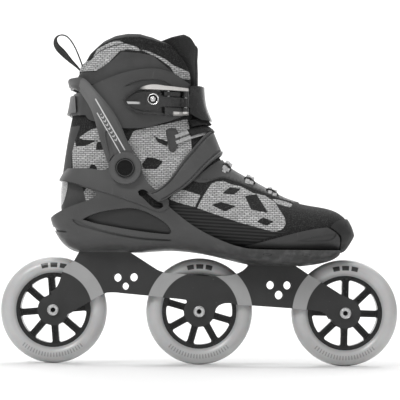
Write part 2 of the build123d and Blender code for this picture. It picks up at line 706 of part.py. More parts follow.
def arm_face_side():
    """Raised face of the arm, inside its bevelled rear edge."""
    return outline(
        [(-82.0, 186.0), (-84.4, 193.6), (-89.8, 209.2), (-94.6, 225.6), (-99.6, 239.2), (-107.0, 251.0),
         (-113.0, 257.2), (-122.0, 260.0), (-131.0, 260.4)],
        [(-131.0, 265.4), (-118.0, 266.4), (-112.4, 265.2), (-102.4, 256.4), (-91.6, 243.8), (-82.3, 232.0),
         (-74.9, 218.6), (-69.2, 205.8), (-62.8, 195.8), (-58.6, 186.0)],
    )


def cuff_yoke():
    shell = boot(6.9) & prism(arm_side())
    shell += boot(7.9) & prism(arm_face_side())
    shell -= boot(3.9)
    recess = outline([(-88.8, 215.9), (-86.6, 216.2), (-83.6, 206.0), (-80.6, 196.0), (-80.2, 189.2)],
                     [(-82.9, 186.6), (-85.8, 198.4), (-88.8, 212.0)])
    shell -= prism(recess) - boot(6.2)
    for sign in (-1, 1):
        shell -= rod(*PIVOT, 16.2, 0, sign * ARM_IN_Y)
        shell += rod(*PIVOT, 14.8, sign * ARM_IN_Y, sign * ARM_OUT_Y)
        shell -= rod(*PIVOT, 9.2, sign * (ARM_OUT_Y - 0.8), sign * 70)
        shell -= rod(*PIVOT, PIVOT_SHAFT_R + 0.05, sign * 30, sign * 60)
        shell -= rod(-103.0, 246.0, 2.5, sign * 20, sign * (half_width(-103.0, 246.0, 5.9)))
    return shell


def pivot_bolts():
    def one(sign):
        bolt = rod(*PIVOT, PIVOT_SHAFT_R, sign * 41.6, sign * (ARM_OUT_Y + 0.2))
        bolt += rod(*PIVOT, 8.6, sign * (ARM_OUT_Y - 0.5), sign * (ARM_OUT_Y + 1.8))
        bolt -= rod(*PIVOT, 6.6, sign * (ARM_OUT_Y + 1.0), sign * (ARM_OUT_Y + 3))
        return bolt

    return solids(both_sides(one))


def pivot_nuts():
    def one(sign):
        return rod(*PIVOT, 7.0, sign * 41.2, sign * 43.6) - rod(*PIVOT, PIVOT_SHAFT_R, sign * 38, sign * 46)

    return solids(both_sides(one))


def cuff_band():
    side = outline(
        [(-11.0, 262.5), (-20.3, 267.6), (-34.2, 273.6), (-48.1, 274.8), (-66.6, 272.1), (-85.0, 266.3),
         (-101.6, 259.6), (-108.0, 257.0)],
        [(-108.0, 253.8), (-128.0, 252.4)],
        [(-128.0, 252.4), (-134.0, 251.0)], [(-134.0, 233.0), (-108.0, 231.6)],
        [(-108.0, 231.6), (-102.1, 226.3), (-89.2, 225.5), (-79.9, 221.0), (-66.0, 219.3), (-52.1, 220.4),
         (-38.3, 224.3), (-24.4, 229.1), (-14.3, 233.8)],
    )
    slot = outline([(-71.9, 257.6), (-61.8, 262.6), (-48.0, 264.8), (-34.1, 263.4), (-27.0, 258.8)],
                   [(-34.1, 260.8), (-48.0, 261.8), (-61.8, 259.6)])
    shell = boot(3.2) & prism(side)
    shell += boot(6.6) & prism(polygon([(-150, 251.4), (-118.5, 250.6), (-117.0, 234.4), (-150, 233.4)]))
    shell -= boot(0.4)
    shell -= prism(slot) - boot(2.0)
    for sign in (-1, 1):
        shell -= rod(-103.0, 246.0, 2.5, sign * 20, sign * 60)
    shell -= rod(-45.0, 246.0, 3.0, -70, 0)
    shell -= rod(-36.0, 246.5, 2.6, 0, 70)
    return shell


def band_rivets():
    def one(sign):
        tip = half_width(-103.0, 246.0, 5.9)
        head = half_width(-103.0, 246.0, 1.8)
        return rod(-103.0, 246.0, 2.5, sign * head, sign * tip)

    return solids(both_sides(one))


# ---- cuff buckle ----
def eye_side():
    return outline(
        [(-73.1, 244.3), (-66.1, 251.3), (-58.0, 256.2), (-45.9, 259.8), (-33.9, 259.0),
         (-22.8, 257.5), (-12.7, 257.6)],
        [(-12.7, 257.6), (-11.8, 233.4)],
        [(-11.8, 233.4), (-24.4, 231.9), (-43.4, 232.4), (-57.7, 233.6), (-66.9, 237.4), (-73.1, 244.3)],
    )


def lever_side():
    return outline(
        [(-69.6, 243.9), (-65.0, 248.4), (-59.5, 251.4), (-50.0, 252.6), (-42.0, 251.2), (-36.6, 248.4)],
        [(-36.6, 248.4), (-15.0, 248.2)],
        [(-15.0, 240.0), (-35.5, 239.7)],
        [(-35.5, 239.7), (-42.9, 236.7), (-54.7, 235.6), (-64.9, 238.5), (-69.6, 243.9)],
    )


def lever_axis():
    x, grow = LEVER_PIN
    return x, -half_width(x, 246.0, grow)


def pawl_axis():
    x, grow = PAWL_PIN
    return x, -half_width(x, 251.0, grow)


def buckle_base():
    floor = skin(3.3, 4.6, eye_side(), -80, 0)
    top = polygon([(-58.7, 255.4), (-53.0, 257.6), (-47.0, 259.0), (-33.9, 258.6), (-11.9, 257.4),
                   (-11.9, 254.2), (-33.8, 254.2), (-45.8, 255.0), (-55.0, 254.0)])
    low = polygon([(-34.0, 239.0), (-11.9, 239.0), (-11.9, 233.6), (-34.0, 232.6)])
    rim = skin(3.3, 7.0, eye_side(), -80, 0) - prism(eye_cut())
    base = floor + skin(3.3, 12.0, top, -80, 0) + skin(3.3, 9.6, low, -80, 0) + rim
    x, y = lever_axis()
    for z0, z1 in ((233.8, 239.3), (248.9, 257.2)):
        base += post(x, y, 3.1, z0, z1) & block(-30, 5, -80, 0, 230, 260)
    px, py = pawl_axis()
    base -= post(px, py, 1.2, 240, 262)
    base -= post(x, y, 1.5, 225, 262)
    base -= rod(-45.0, 246.0, 3.0, -70, 0)
    return base


def eye_cut():
    """Room inside the buckle tray."""
    return outline(
        [(-71.0, 244.2), (-65.4, 249.8), (-57.5, 254.6), (-46.0, 257.2), (-34.0, 256.4), (-10.0, 256.0)],
        [(-10.0, 235.2), (-24.4, 234.0), (-43.4, 234.2), (-57.0, 235.2), (-66.0, 238.8), (-71.0, 244.2)],
    )


def buckle_lever():
    x, y = lever_axis()
    lever = skin(8.0, 11.6, lever_side(), -80, 0)
    lever += post(x, y, 2.7, 240.0, 248.2)
    tri = outline([(-63.0, 244.2), (-51.6, 250.4)], [(-51.6, 250.4), (-51.4, 240.2)])
    lever -= prism(tri, -80, 0) - boot(10.6)
    for z0, z1 in ((240.9, 243.2), (245.0, 247.3)):
        lever -= prism(polygon([(-34.0, z0), (-19.0, z0), (-19.0, z1), (-34.0, z1)]), -80, 0) - boot(10.8)
    lever -= post(x, y, 1.56, 230, 260)
    lever -= rod(-44.7, 246.0, 5.25, -80, -hub_seat())
    return lever


def hub_seat():
    return half_width(-44.7, 246.0, 9.6)


def lever_hub():
    seat = hub_seat()
    hub_ring = rod(-44.7, 246.0, 5.2, -seat - 3.2, -seat) - rod(-44.7, 246.0, 3.5, -seat - 5, -seat - 1.2)
    cap = rod(-44.7, 246.0, 2.9, -seat - 2.8, -seat - 1.2)
    return hub_ring + cap


def buckle_pawl():
    x, y = pawl_axis()
    side = polygon([(-34.6, 253.4), (-20.0, 253.4), (-20.0, 249.6), (-34.6, 249.6)])
    pawl = skin(7.8, 10.9, side, -80, 0) + post(x, y, 2.2, 249.6, 253.4)
    return pawl - post(x, y, 1.25, 240, 260)


def buckle_pins():
    x, y = lever_axis()
    px, py = pawl_axis()
    return solids(post(x, y, 1.5, 233.8, 257.2), post(px, py, 1.2, 249.0, 256.0))


def buckle_rivet():
    back = half_width(-45.0, 246.0, 1.6)
    out = half_width(-45.0, 246.0, 5.2)
    shaft = rod(-45.0, 246.0, 3.0, -out, -back)
    return shaft + ((rod(-45.0, 246.0, 4.6, -80, 0) & boot(5.8)) - boot(4.6))


def ladder_strap():
    pad = outline([(-11.0, 259.8), (-7.0, 261.0), (2.0, 261.4), (30.0, 261.0)], [(30.0, 230.0), (1.0, 229.4)],
                  [(1.0, 229.4), (-5.1, 231.9), (-11.0, 235.4)])
    strap = skin(3.6, 6.4, pad)
    strap += skin(4.9, 6.4, polygon([(-40.0, 240.6), (-40.0, 252.4), (-9.0, 252.4), (-9.0, 240.6)]), -80, 0)
    strap += skin(3.6, 6.0, polygon([(-46.0, 239.0), (-44.0, 254.0), (-9.0, 256.8), (-9.0, 236.4)]), 0, 80)
    teeth = boot(7.0) - boot(6.2)
    for k in range(7):
        x = -38.0 + 2.6 * k
        strap += teeth & block(x, x + 1.2, -80, 0, 241.6, 248.6)
    return strap - rod(-36.0, 246.5, 2.6, 0, 70)


def ladder_rivet():
    tip = half_width(-36.0, 246.5, 6.4)
    back = half_width(-36.0, 246.5, 1.8)
    shaft = rod(-36.0, 246.5, 2.6, back, tip)
    return shaft + ((rod(-36.0, 246.5, 5.0, 0, 80) & boot(7.4)) - boot(6.0))


PARTS = {
    "frame": frame,
    "frame_bolts": frame_bolts,
    "frame_washers": frame_washers,
    "frame_nuts": frame_nuts,
    "axle_bolts": axle_bolts,
    "axle_screws": axle_screws,
    "bearing_inner_rings": bearing_inner_rings,
    "bearing_spacers": bearing_spacers,
    "chassis": chassis,
    "window_inserts": window_inserts,
    "upper": upper,
    "tongue_lower": tongue_lower,
    "insole": insole,
    "ankle_gusset": ankle_gusset,
    "toe_bumper": toe_bumper,
    "toe_guards": toe_guards,
    "lace_bands": lace_bands,
    "instep_strap": instep_strap,
    "heel_reflector": heel_reflector,
    "pivot_bolts": pivot_bolts,
    "pivot_nuts": pivot_nuts,
    "cuff_yoke": cuff_yoke,
    "cuff_band": cuff_band,
    "band_rivets": band_rivets,
    "collar": collar,
    "tongue_upper": tongue_upper,
    "pull_loop": pull_loop,
    "ladder_strap": ladder_strap,
    "ladder_rivet": ladder_rivet,
    "buckle_base": buckle_base,
    "buckle_rivet": buckle_rivet,
    "buckle_pins": buckle_pins,
    "buckle_lever": buckle_lever,
    "lever_hub": lever_hub,
    "buckle_pawl": buckle_pawl,
}


def wheel_parts(name):
    x = WHEEL_X[name]
    return {
        "tyre_" + name: tyre(x),
        "hub_" + name: hub(x, SPOKE_START_DEG[name]),
        "bearing_outer_rings_" + name: bearing_outer_rings(x),
        "bearing_balls_" + name: bearing_balls(x),
    }


def main():
    for name, maker in PARTS.items():
        export_step(solids(maker()), f"parts/{name}.step")
        print(name)
    for wheel in WHEEL_X:
        for name, shape in wheel_parts(wheel).items():
            export_step(solids(shape), f"parts/{name}.step")
            print(name)


main()
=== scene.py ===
"""Inline skate: soft goods, materials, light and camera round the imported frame.

Lengths in the tables are millimetres in the frame's own axes, and meshes are built in metres.
The boot is one smooth surface through 14 sections; every soft piece lies at a stated
distance off that surface.
"""

import json
import math

import bmesh
import bpy
import numpy as np
from mathutils import Matrix, Vector
from mathutils.bvhtree import BVHTree


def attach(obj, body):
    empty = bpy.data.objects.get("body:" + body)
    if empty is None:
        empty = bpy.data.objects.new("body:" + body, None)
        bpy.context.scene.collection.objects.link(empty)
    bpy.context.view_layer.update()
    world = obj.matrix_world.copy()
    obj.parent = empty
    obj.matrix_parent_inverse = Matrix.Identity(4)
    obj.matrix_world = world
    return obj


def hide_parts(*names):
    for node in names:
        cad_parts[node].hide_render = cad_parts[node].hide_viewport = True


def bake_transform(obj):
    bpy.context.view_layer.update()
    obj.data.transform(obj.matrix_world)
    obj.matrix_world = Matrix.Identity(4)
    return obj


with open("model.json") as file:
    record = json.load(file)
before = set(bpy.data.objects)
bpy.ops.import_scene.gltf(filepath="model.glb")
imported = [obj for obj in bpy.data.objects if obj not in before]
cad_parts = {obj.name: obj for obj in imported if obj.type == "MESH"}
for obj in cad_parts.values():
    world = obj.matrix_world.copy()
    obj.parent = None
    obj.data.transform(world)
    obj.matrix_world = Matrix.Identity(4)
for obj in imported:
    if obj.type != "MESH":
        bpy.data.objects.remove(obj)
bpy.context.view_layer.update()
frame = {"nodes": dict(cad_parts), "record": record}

MM = 0.001
WHEELS = {"rear": -137.0, "middle": 0.0, "front": 137.0}
AXLE_Z = 50.0
PIVOT = (-70.0, 182.0)
RIVET = (-45.0, 246.0)
LACE_SLOT_END = 93.0
RIDGE_MM_PER_RADIAN = 41
STRAP_WIDTH = 23
STRAP_HALF_LENGTH = 78

# Boot sections from toe to collar: lower point, upper point (x, z), half width, sideways
# lean, place of the widest point, roundness of the lower and the upper part.
BOOT = [
    ((137.1, 112.3), (143.1, 122.8), 17.0, 4.0, 0.50, 2.3, 2.3),
    ((132.4, 108.0), (140.7, 133.2), 30.0, 3.5, 0.48, 2.6, 2.3),
    ((123.0, 106.6), (133.0, 142.3), 38.0, 3.0, 0.44, 2.9, 2.2),
    ((89.9, 104.9), (97.0, 152.0), 49.5, 1.0, 0.37, 3.4, 2.0),
    ((37.9, 106.4), (52.3, 172.3), 50.0, 0.0, 0.34, 3.3, 1.85),
    ((-18.8, 111.9), (23.7, 190.4), 44.5, 0.0, 0.36, 3.1, 1.9),
    ((-85.0, 112.6), (9.2, 217.6), 42.0, 0.0, 0.40, 2.8, 2.0),
    ((-109.6, 115.1), (4.4, 228.9), 41.0, 0.0, 0.42, 2.6, 2.0),
    ((-123.9, 125.3), (0.5, 238.3), 40.2, 0.0, 0.43, 2.4, 2.05),
    ((-131.0, 142.3), (-1.5, 247.8), 39.8, 0.0, 0.44, 2.3, 2.1),
    ((-130.0, 182.0), (-3.1, 262.9), 41.0, 0.0, 0.46, 2.2, 2.2),
    ((-124.1, 221.7), (-3.3, 279.9), 43.8, 0.0, 0.48, 2.2, 2.3),
    ((-117.9, 259.6), (-3.6, 301.6), 46.0, 0.0, 0.49, 2.2, 2.3),
    ((-109.0, 305.1), (-9.2, 339.4), 46.8, 0.0, 0.50, 2.2, 2.3),
]

# Side-view outlines.
COLLAR_TOP = [(-119.7, 280.1), (-111.2, 282.0), (-105.5, 291.6), (-93.0, 300.2), (-81.2, 304.9),
              (-69.4, 307.1), (-57.6, 307.2), (-45.8, 304.6), (-33.0, 300.0), (-20.0, 292.0),
              (0.0, 283.0)]
COLLAR_FRONT = [(-31.5, 303.0), (-20.5, 290.0), (-12.0, 278.6), (-9.5, 268.0), (-8.5, 250.0),
                (-8.0, 236.0), (-6.0, 206.0)]
TONGUE_TOP = [(-60.0, 300.0), (-34.6, 303.5), (-24.0, 307.0), (-15.3, 309.8), (-10.5, 308.2),
              (-6.0, 302.6), (4.0, 296.0)]
EYESTAY_LOW = [(-9, 172), (1, 169.5), (10, 171.5), (21, 174.5), (28, 173), (38, 169.5), (49, 165),
               (63, 159.5), (76, 155), (87, 152)]
LIGHT_PATCHES = {
    "foot": [(-3, 146), (3, 158), (10, 169), (14, 171), (21, 172), (28, 169), (38, 167), (49, 161),
             (60, 159), (69, 153), (78, 138), (79, 132), (76, 127), (70, 125), (66, 125), (36, 133),
             (15, 140)],
    "foot_rear": [(-29, 154), (-25, 159), (-17, 163), (-10, 161), (0, 158), (-5, 147), (-14, 149),
                  (-24, 152)],
    "tab": [(67, 156), (81, 154), (86, 151), (84, 148), (72, 151)],
    "crescent": [(-116, 274), (-113, 281), (-108, 283), (-103, 284), (-98, 293), (-90, 297),
                 (-82, 300), (-76, 300), (-73, 298), (-59, 294), (-58, 291), (-69, 292), (-76, 291),
                 (-80, 287), (-86, 281), (-93, 276), (-99, 273)],
    "sliver": [(-57, 292), (-50, 291), (-34, 284), (-27, 279), (-10, 273), (-11, 267), (-18, 267),
               (-26, 271), (-29, 277), (-41, 285)],
    "heel_side": [(-121, 202), (-119, 208), (-108, 215), (-101, 219), (-86, 221), (-78, 200),
                  (-82, 176), (-119, 176)],
    "heel_low": [(-110, 158), (-106, 164), (-97, 164), (-92, 158), (-96, 150), (-108, 150)],
    "centre": [(-75, 196), (-66, 210), (-63, 217), (-47, 221), (-30, 225), (-13, 230), (-10, 215),
               (-8, 195), (-33, 160), (-50, 165), (-60, 180)],
}
DARK_MARKS = {
    "fleck": [(20, 160), (27, 166), (38, 165), (31, 159)],
    "wedge": [(41, 158), (52, 160), (63, 142), (47, 145)],
    "sliver": [(10, 149), (19, 152), (33, 148), (23, 143)],
    "chip": [(52, 134), (58, 138), (68, 134), (61, 130)],
    "heel_arrow": [(-119, 213), (-110, 209), (-96, 208), (-108, 203), (-117, 203)],
    "heel_tip": [(-97, 206), (-92, 207), (-90, 199), (-98, 199)],
    "heel_notch": [(-106, 178), (-102, 186), (-98, 185), (-95, 178)],
    "diamond": [(-55, 186), (-50, 193), (-42, 192), (-35, 189), (-41, 182), (-53, 182)],
    "streak": [(-47, 215), (-40, 211), (-31, 208), (-31, 203), (-40, 207)],
}
SMOOTH_ZONES = {
    "heel_strut": [(-150, 178), (-112, 178), (-110, 165), (-106, 150), (-112, 140), (-150, 130)],
    "collar_panel": [(-122, 262), (-122, 273), (-99, 272), (-82, 283), (-75, 290), (-59, 289),
                     (-46, 287), (-37, 280), (-22, 268), (-20, 255)],
    "heel_counter": [(-150, 222), (-113, 222), (-118, 208), (-121, 196), (-121, 176), (-150, 176)],
}
RIB_ZONE = [(-34, 152), (-3, 146), (36, 133), (66, 124.5), (82, 125), (60, 118), (30, 104),
            (-40, 104), (-60, 140)]
STRAP_HIGH = [(-49.2, 160.0), (-42.0, 161.5), (-35.5, 165.4), (-20.0, 186.0), (-7.0, 203.2),
              (5.3, 218.0), (14.0, 226.0)]
STRAP_LOW = [(-38.0, 152.0), (-31.0, 154.6), (-24.0, 158.8), (-16.3, 163.6), (7.0, 186.1),
             (18.0, 195.6), (28.0, 204.0)]
EAR = [(-33.5, 219.5), (-24.0, 220.5), (-19.0, 210.5), (-24.5, 198.0), (-29.5, 198.5)]
LACES = [(24.8, 186.4), (46.5, 175.6), (68.0, 166.2)]
ANKLE_LACES = [[(-25.0, 212.2), (-18.0, 214.8), (-9.0, 218.0), (2.0, 221.0), (9.5, 221.5)],
               [(-24.0, 206.6), (-17.5, 209.3), (-9.0, 212.6), (4.0, 216.0), (12.0, 216.5)]]
KEEPERS = [[(-12.0, 224.0), (-7.0, 225.5), (0.0, 226.5), (6.0, 227.0)],
           [(-12.6, 215.0), (-6.0, 217.6), (3.0, 219.6), (10.5, 220.0)]]
LOOP_WIDTH = 12.0
LOOP_LINE = [(-112.8, 272.0), (-114.6, 275.5), (-122.9, 284.1), (-133.4, 294.6), (-139.0, 302.0),
             (-138.6, 307.4), (-134.8, 310.0), (-129.6, 309.4), (-124.4, 304.6), (-119.4, 296.0),
             (-115.6, 287.0), (-112.9, 279.0), (-111.8, 272.0)]


# ---- the boot's surface ----
def spline_weights(knots, at):
    """Natural cubic spline through the knots as weights, one row for each place."""
    n = len(knots)
    h = np.diff(knots)
    a = np.zeros((n, n))
    b = np.zeros((n, n))
    a[0, 0] = a[-1, -1] = 1.0
    for i in range(1, n - 1):
        a[i, i - 1:i + 2] = h[i - 1], 2 * (h[i - 1] + h[i]), h[i]
        b[i, i - 1:i + 2] = 6 / h[i - 1], -6 / h[i - 1] - 6 / h[i], 6 / h[i]
    second = np.linalg.solve(a, b)
    k = np.clip(np.searchsorted(knots, at) - 1, 0, n - 2)
    t = at - knots[k]
    s = h[k] - t
    low = s ** 3 / (6 * h[k]) - s * h[k] / 6
    high = t ** 3 / (6 * h[k]) - t * h[k] / 6
    weights = low[:, None] * second[k] + high[:, None] * second[k + 1]
    rows = np.arange(len(at))
    weights[rows, k] += s / h[k]
    weights[rows, k + 1] += t / h[k]
    return weights


def station_points(angle, grow):
    """Points at the angles round each section, as (stations, angles, 3) in millimetres."""
    c, s = np.cos(angle), np.sin(angle)
    found = []
    for i, (low, high, half, lean, widest, n_low, n_high) in enumerate(BOOT):
        base, line = np.array(low), np.array(high) - np.array(low)
        length = np.hypot(*line)
        dx, dz = line / length
        slide = grow if i == 0 else np.zeros_like(grow)
        n = np.where(c >= 0, n_low, n_high)
        ratio = np.abs(c) ** (2 / n)
        along = np.where(c >= 0, widest * (1 - ratio), widest + (1 - widest) * ratio)
        reach = (length + 2 * grow) * along
        x = base[0] - dx * grow + dz * slide + dx * reach
        z = base[1] - dz * grow - dx * slide + dz * reach
        y = lean + np.sign(s) * (half + grow) * np.abs(s) ** (2 / n)
        found.append(np.stack([x, y, z], axis=1))
    return np.array(found)


def section_knots():
    """Mean distance along the boot from the toe section to each section."""
    points = station_points(np.linspace(0, 2 * math.pi, 20, endpoint=False), np.zeros(20))
    steps = np.linalg.norm(np.diff(points, axis=0), axis=2).mean(axis=1)
    return np.concatenate([[0.0], np.cumsum(steps)])


KNOTS = section_knots()
LOWS = np.array([s[0] for s in BOOT])
HIGHS = np.array([s[1] for s in BOOT])
SHAPES = np.array([s[4:7] for s in BOOT])


def boot_at(along, angle, grow=0.0):
    """Surface points in millimetres; angle is 0 at the sole or heel and pi at the ridge."""
    along, angle, grow = np.broadcast_arrays(
        np.asarray(along, float), np.asarray(angle, float), np.asarray(grow, float))
    shape = along.shape
    weights = spline_weights(KNOTS, along.ravel())
    points = station_points(angle.ravel(), grow.ravel())
    return np.einsum("ni,inj->nj", weights, points).reshape(shape + (3,))


def locate(points):
    """Place (along, angle) on the boot's surface of side-view points."""
    x, z = np.array(points, float).T
    low = np.zeros(len(x))
    high = np.full(len(x), KNOTS[-1])
    for _ in range(36):
        middle = (low + high) / 2
        weights = spline_weights(KNOTS, middle)
        base, tip = weights @ LOWS, weights @ HIGHS
        line = tip - base
        behind = line[:, 0] * (z - base[:, 1]) - line[:, 1] * (x - base[:, 0]) > 0
        low = np.where(behind, middle, low)
        high = np.where(behind, high, middle)
    share = ((x - base[:, 0]) * line[:, 0] + (z - base[:, 1]) * line[:, 1]) / (line ** 2).sum(1)
    share = np.clip(share, 0.0, 1.0)
    widest, n_low, n_high = (weights @ SHAPES).T
    below = np.clip(1 - share / widest, 0, 1) ** (n_low / 2)
    above = np.clip((share - widest) / (1 - widest), 0, 1) ** (n_high / 2)
    return middle, np.arccos(np.where(share < widest, below, -above))


def distances(line):
    """Distance along a line of points from its start to each point."""
    return np.concatenate([[0.0], np.cumsum(np.linalg.norm(np.diff(line, axis=0), axis=1))])


def unit(vectors):
    return vectors / np.linalg.norm(vectors, axis=1)[:, None]


def smooth_line(points, count):
    """Evenly spaced points on a smooth curve through the given ones."""
    points = np.array(points, float)
    knots = distances(points)
    return spline_weights(knots, np.linspace(0, knots[-1], count)) @ points


def smooth_step(value, low, high):
    t = np.clip((value - low) / (high - low), 0, 1)
    return t * t * (3 - 2 * t)


def signed_distance(x, z, outline):
    """Distance to an outline in millimetres, positive inside."""
    nearest = np.full(x.shape, 1e9)
    inside = np.zeros(x.shape, bool)
    for (ax, az), (bx, bz) in zip(outline, outline[1:] + outline[:1]):
        ex, ez = bx - ax, bz - az
        t = np.clip(((x - ax) * ex + (z - az) * ez) / (ex * ex + ez * ez), 0, 1)
        nearest = np.minimum(nearest, np.hypot(x - ax - t * ex, z - az - t * ez))
        if ez != 0:
            crosses = (az > z) != (bz > z)
            inside ^= crosses & (x < ax + (z - az) / ez * ex)
    return np.where(inside, nearest, -nearest)


# ---- mesh makers ----
def mesh_object(name, points, faces, material, smooth=True):
    """A mesh from points in millimetres."""
    mesh = bpy.data.meshes.new(name)
    mesh.from_pydata((np.asarray(points, float).reshape(-1, 3) * MM).tolist(), [], faces)
    mesh.materials.append(material)
    mesh.validate()
    made = bpy.data.objects.new(name, mesh)
    bpy.context.scene.collection.objects.link(made)
    mesh.polygons.foreach_set("use_smooth", [smooth] * len(mesh.polygons))
    return made


def grid_faces(rows, columns, start=0, wrap=False, flip=False):
    faces = []
    for i in range(rows - 1):
        for k in range(columns if wrap else columns - 1):
            a = start + i * columns + k
            b = start + i * columns + (k + 1) % columns
            quad = (a, b, b + columns, a + columns)
            faces.append(quad[::-1] if flip else quad)
    return faces


def tidy_mesh(made, weld=0.02):
    """Welds points that coincide and turns every face outward."""
    work = bmesh.new()
    work.from_mesh(made.data)
    bmesh.ops.remove_doubles(work, verts=work.verts, dist=weld * MM)
    bmesh.ops.dissolve_degenerate(work, edges=work.edges, dist=0.001 * MM)
    bmesh.ops.holes_fill(work, edges=[e for e in work.edges if e.is_boundary], sides=0)
    bmesh.ops.recalc_face_normals(work, faces=work.faces)
    for face in work.faces:
        face.smooth = True
    work.to_mesh(made.data)
    work.free()
    return made


def add_value(made, name, values):
    attribute = made.data.attributes.new(name, "FLOAT", "POINT")
    attribute.data.foreach_set("value", np.asarray(values, np.float32).ravel())


def rounded(distance, radius):
    """Height share of a rounded edge, 0 at the edge and 1 beyond the radius."""
    t = np.clip(distance / radius, 0, 1)
    return np.sqrt(1 - (1 - t) ** 2)


def edge_spacing(count, length, radius):
    """Places from 0 to 1, closer together near both ends for a rounded edge."""
    near = radius / length * np.array([0.0, 0.03, 0.12, 0.28, 0.5, 0.75])
    middle = np.linspace(radius / length, 1 - radius / length, count)
    return np.concatenate([near, middle, 1 - near[::-1]])


def layer(name, along, angle, inner, outer, material):
    """Closed layer over a grid of surface places, between two distances off the boot.

    A grid of rings, from a centre out, is closed round as well.
    """
    rows, columns = along.shape
    ringed = np.allclose(along[:, 0], along[:, -1]) and np.allclose(angle[:, 0], angle[:, -1])
    if ringed:
        columns -= 1
        along, angle = along[:, :-1], angle[:, :-1]
        inner, outer = inner[:, :-1], outer[:, :-1]
    top = boot_at(along, angle, outer)
    bottom = boot_at(along, angle, inner)
    points = np.concatenate([top.reshape(-1, 3), bottom.reshape(-1, 3)])
    count = rows * columns
    faces = grid_faces(rows, columns, wrap=ringed)
    faces += grid_faces(rows, columns, count, wrap=ringed, flip=True)
    if ringed:
        faces += [tuple(range(columns)), tuple(range(count, count + columns))]
        rim = [count - columns + k for k in range(columns)]
        faces += [(a, b, b + count, a + count) for a, b in zip(rim, rim[1:] + rim[:1])]
        return tidy_mesh(mesh_object(name, points, faces, material))
    edge = list(range(columns)) + [i * columns + columns - 1 for i in range(1, rows)]
    edge += [count - 1 - k for k in range(1, columns)]
    edge += [(rows - 1 - i) * columns for i in range(1, rows - 1)]
    for a, b in zip(edge, edge[1:] + edge[:1]):
        faces.append((a, b, b + count, a + count))
    return tidy_mesh(mesh_object(name, points, faces, material))


def tube(name, line, across, up, profile, material):
    """Solid swept along a line, with its own across and up directions at each point."""
    line, across, up = (np.asarray(v, float) for v in (line, across, up))
    profile = np.array(profile, float)
    rings = line[:, None] + profile[None, :, :1] * across[:, None] \
        + profile[None, :, 1:] * up[:, None]
    rows, columns = rings.shape[:2]
    faces = grid_faces(rows, columns, wrap=True)
    faces += [tuple(range(columns))[::-1], tuple(range((rows - 1) * columns, rows * columns))]
    return tidy_mesh(mesh_object(name, rings, faces, material))


def run_frame(line, above):
    """Across and up directions of a flat run, with up square to the line."""
    ahead = unit(np.gradient(line, axis=0))
    up = above - line
    up = unit(up - (up * ahead).sum(1)[:, None] * ahead)
    return np.cross(ahead, up), up


def mirrored(along, angle):
    """Surface places that end at the ridge, carried on down the other side."""
    return (np.concatenate([along, along[-2::-1]]),
            np.concatenate([angle, 2 * math.pi - angle[-2::-1]]))


def flat_profile(width, thickness, count=16, squareness=3.2):
    angles = np.linspace(0, 2 * math.pi, count, endpoint=False)
    c, s = np.cos(angles), np.sin(angles)
    power = 2 / squareness
    return np.stack([np.sign(c) * np.abs(c) ** power * width / 2,
                     np.sign(s) * np.abs(s) ** power * thickness / 2], axis=1)


def joined(name, parts):
    """One object from several."""
    work = bmesh.new()
    for part in parts:
        work.from_mesh(part.data)
    material = parts[0].data.materials[0]
    for part in parts:
        bpy.data.objects.remove(part)
    mesh = bpy.data.meshes.new(name)
    work.to_mesh(mesh)
    work.free()
    mesh.materials.append(material)
    made = bpy.data.objects.new(name, mesh)
    bpy.context.scene.collection.objects.link(made)
    return made


def stitches(name, along, angle, grow, material, length=2.4, gap=1.5, radius=0.32):
    """A run of sewn stitches that follows a line of surface places."""
    line = boot_at(along, angle, grow)
    outer = boot_at(along, angle, np.asarray(grow) + 1.0)
    steps = distances(line)
    swell = np.array([0.25, 0.75, 1.0, 1.0, 1.0, 0.75, 0.25])
    rings, sides = len(swell), 8
    points, faces = [], []
    start = gap
    while start + length < steps[-1]:
        places = start + length * np.linspace(0, 1, rings)
        centre = np.stack([np.interp(places, steps, line[:, i]) for i in range(3)], axis=1)
        above = np.stack([np.interp(places, steps, outer[:, i]) for i in range(3)], axis=1)
        up = unit(above - centre)
        side = np.cross(unit(np.gradient(centre, axis=0)), up)
        size = radius * swell
        base = len(points)
        for k in range(rings):
            for j in range(sides):
                turn = 2 * math.pi * j / sides
                points.append(centre[k] + size[k] * (math.cos(turn) * side[k]
                                                     + math.sin(turn) * up[k]))
        faces += grid_faces(rings, sides, base, wrap=True)
        last = base + (rings - 1) * sides
        faces += [tuple(range(base, base + sides))[::-1], tuple(range(last, last + sides))]
        start += length + gap
    return tidy_mesh(mesh_object(name, points, faces, material))


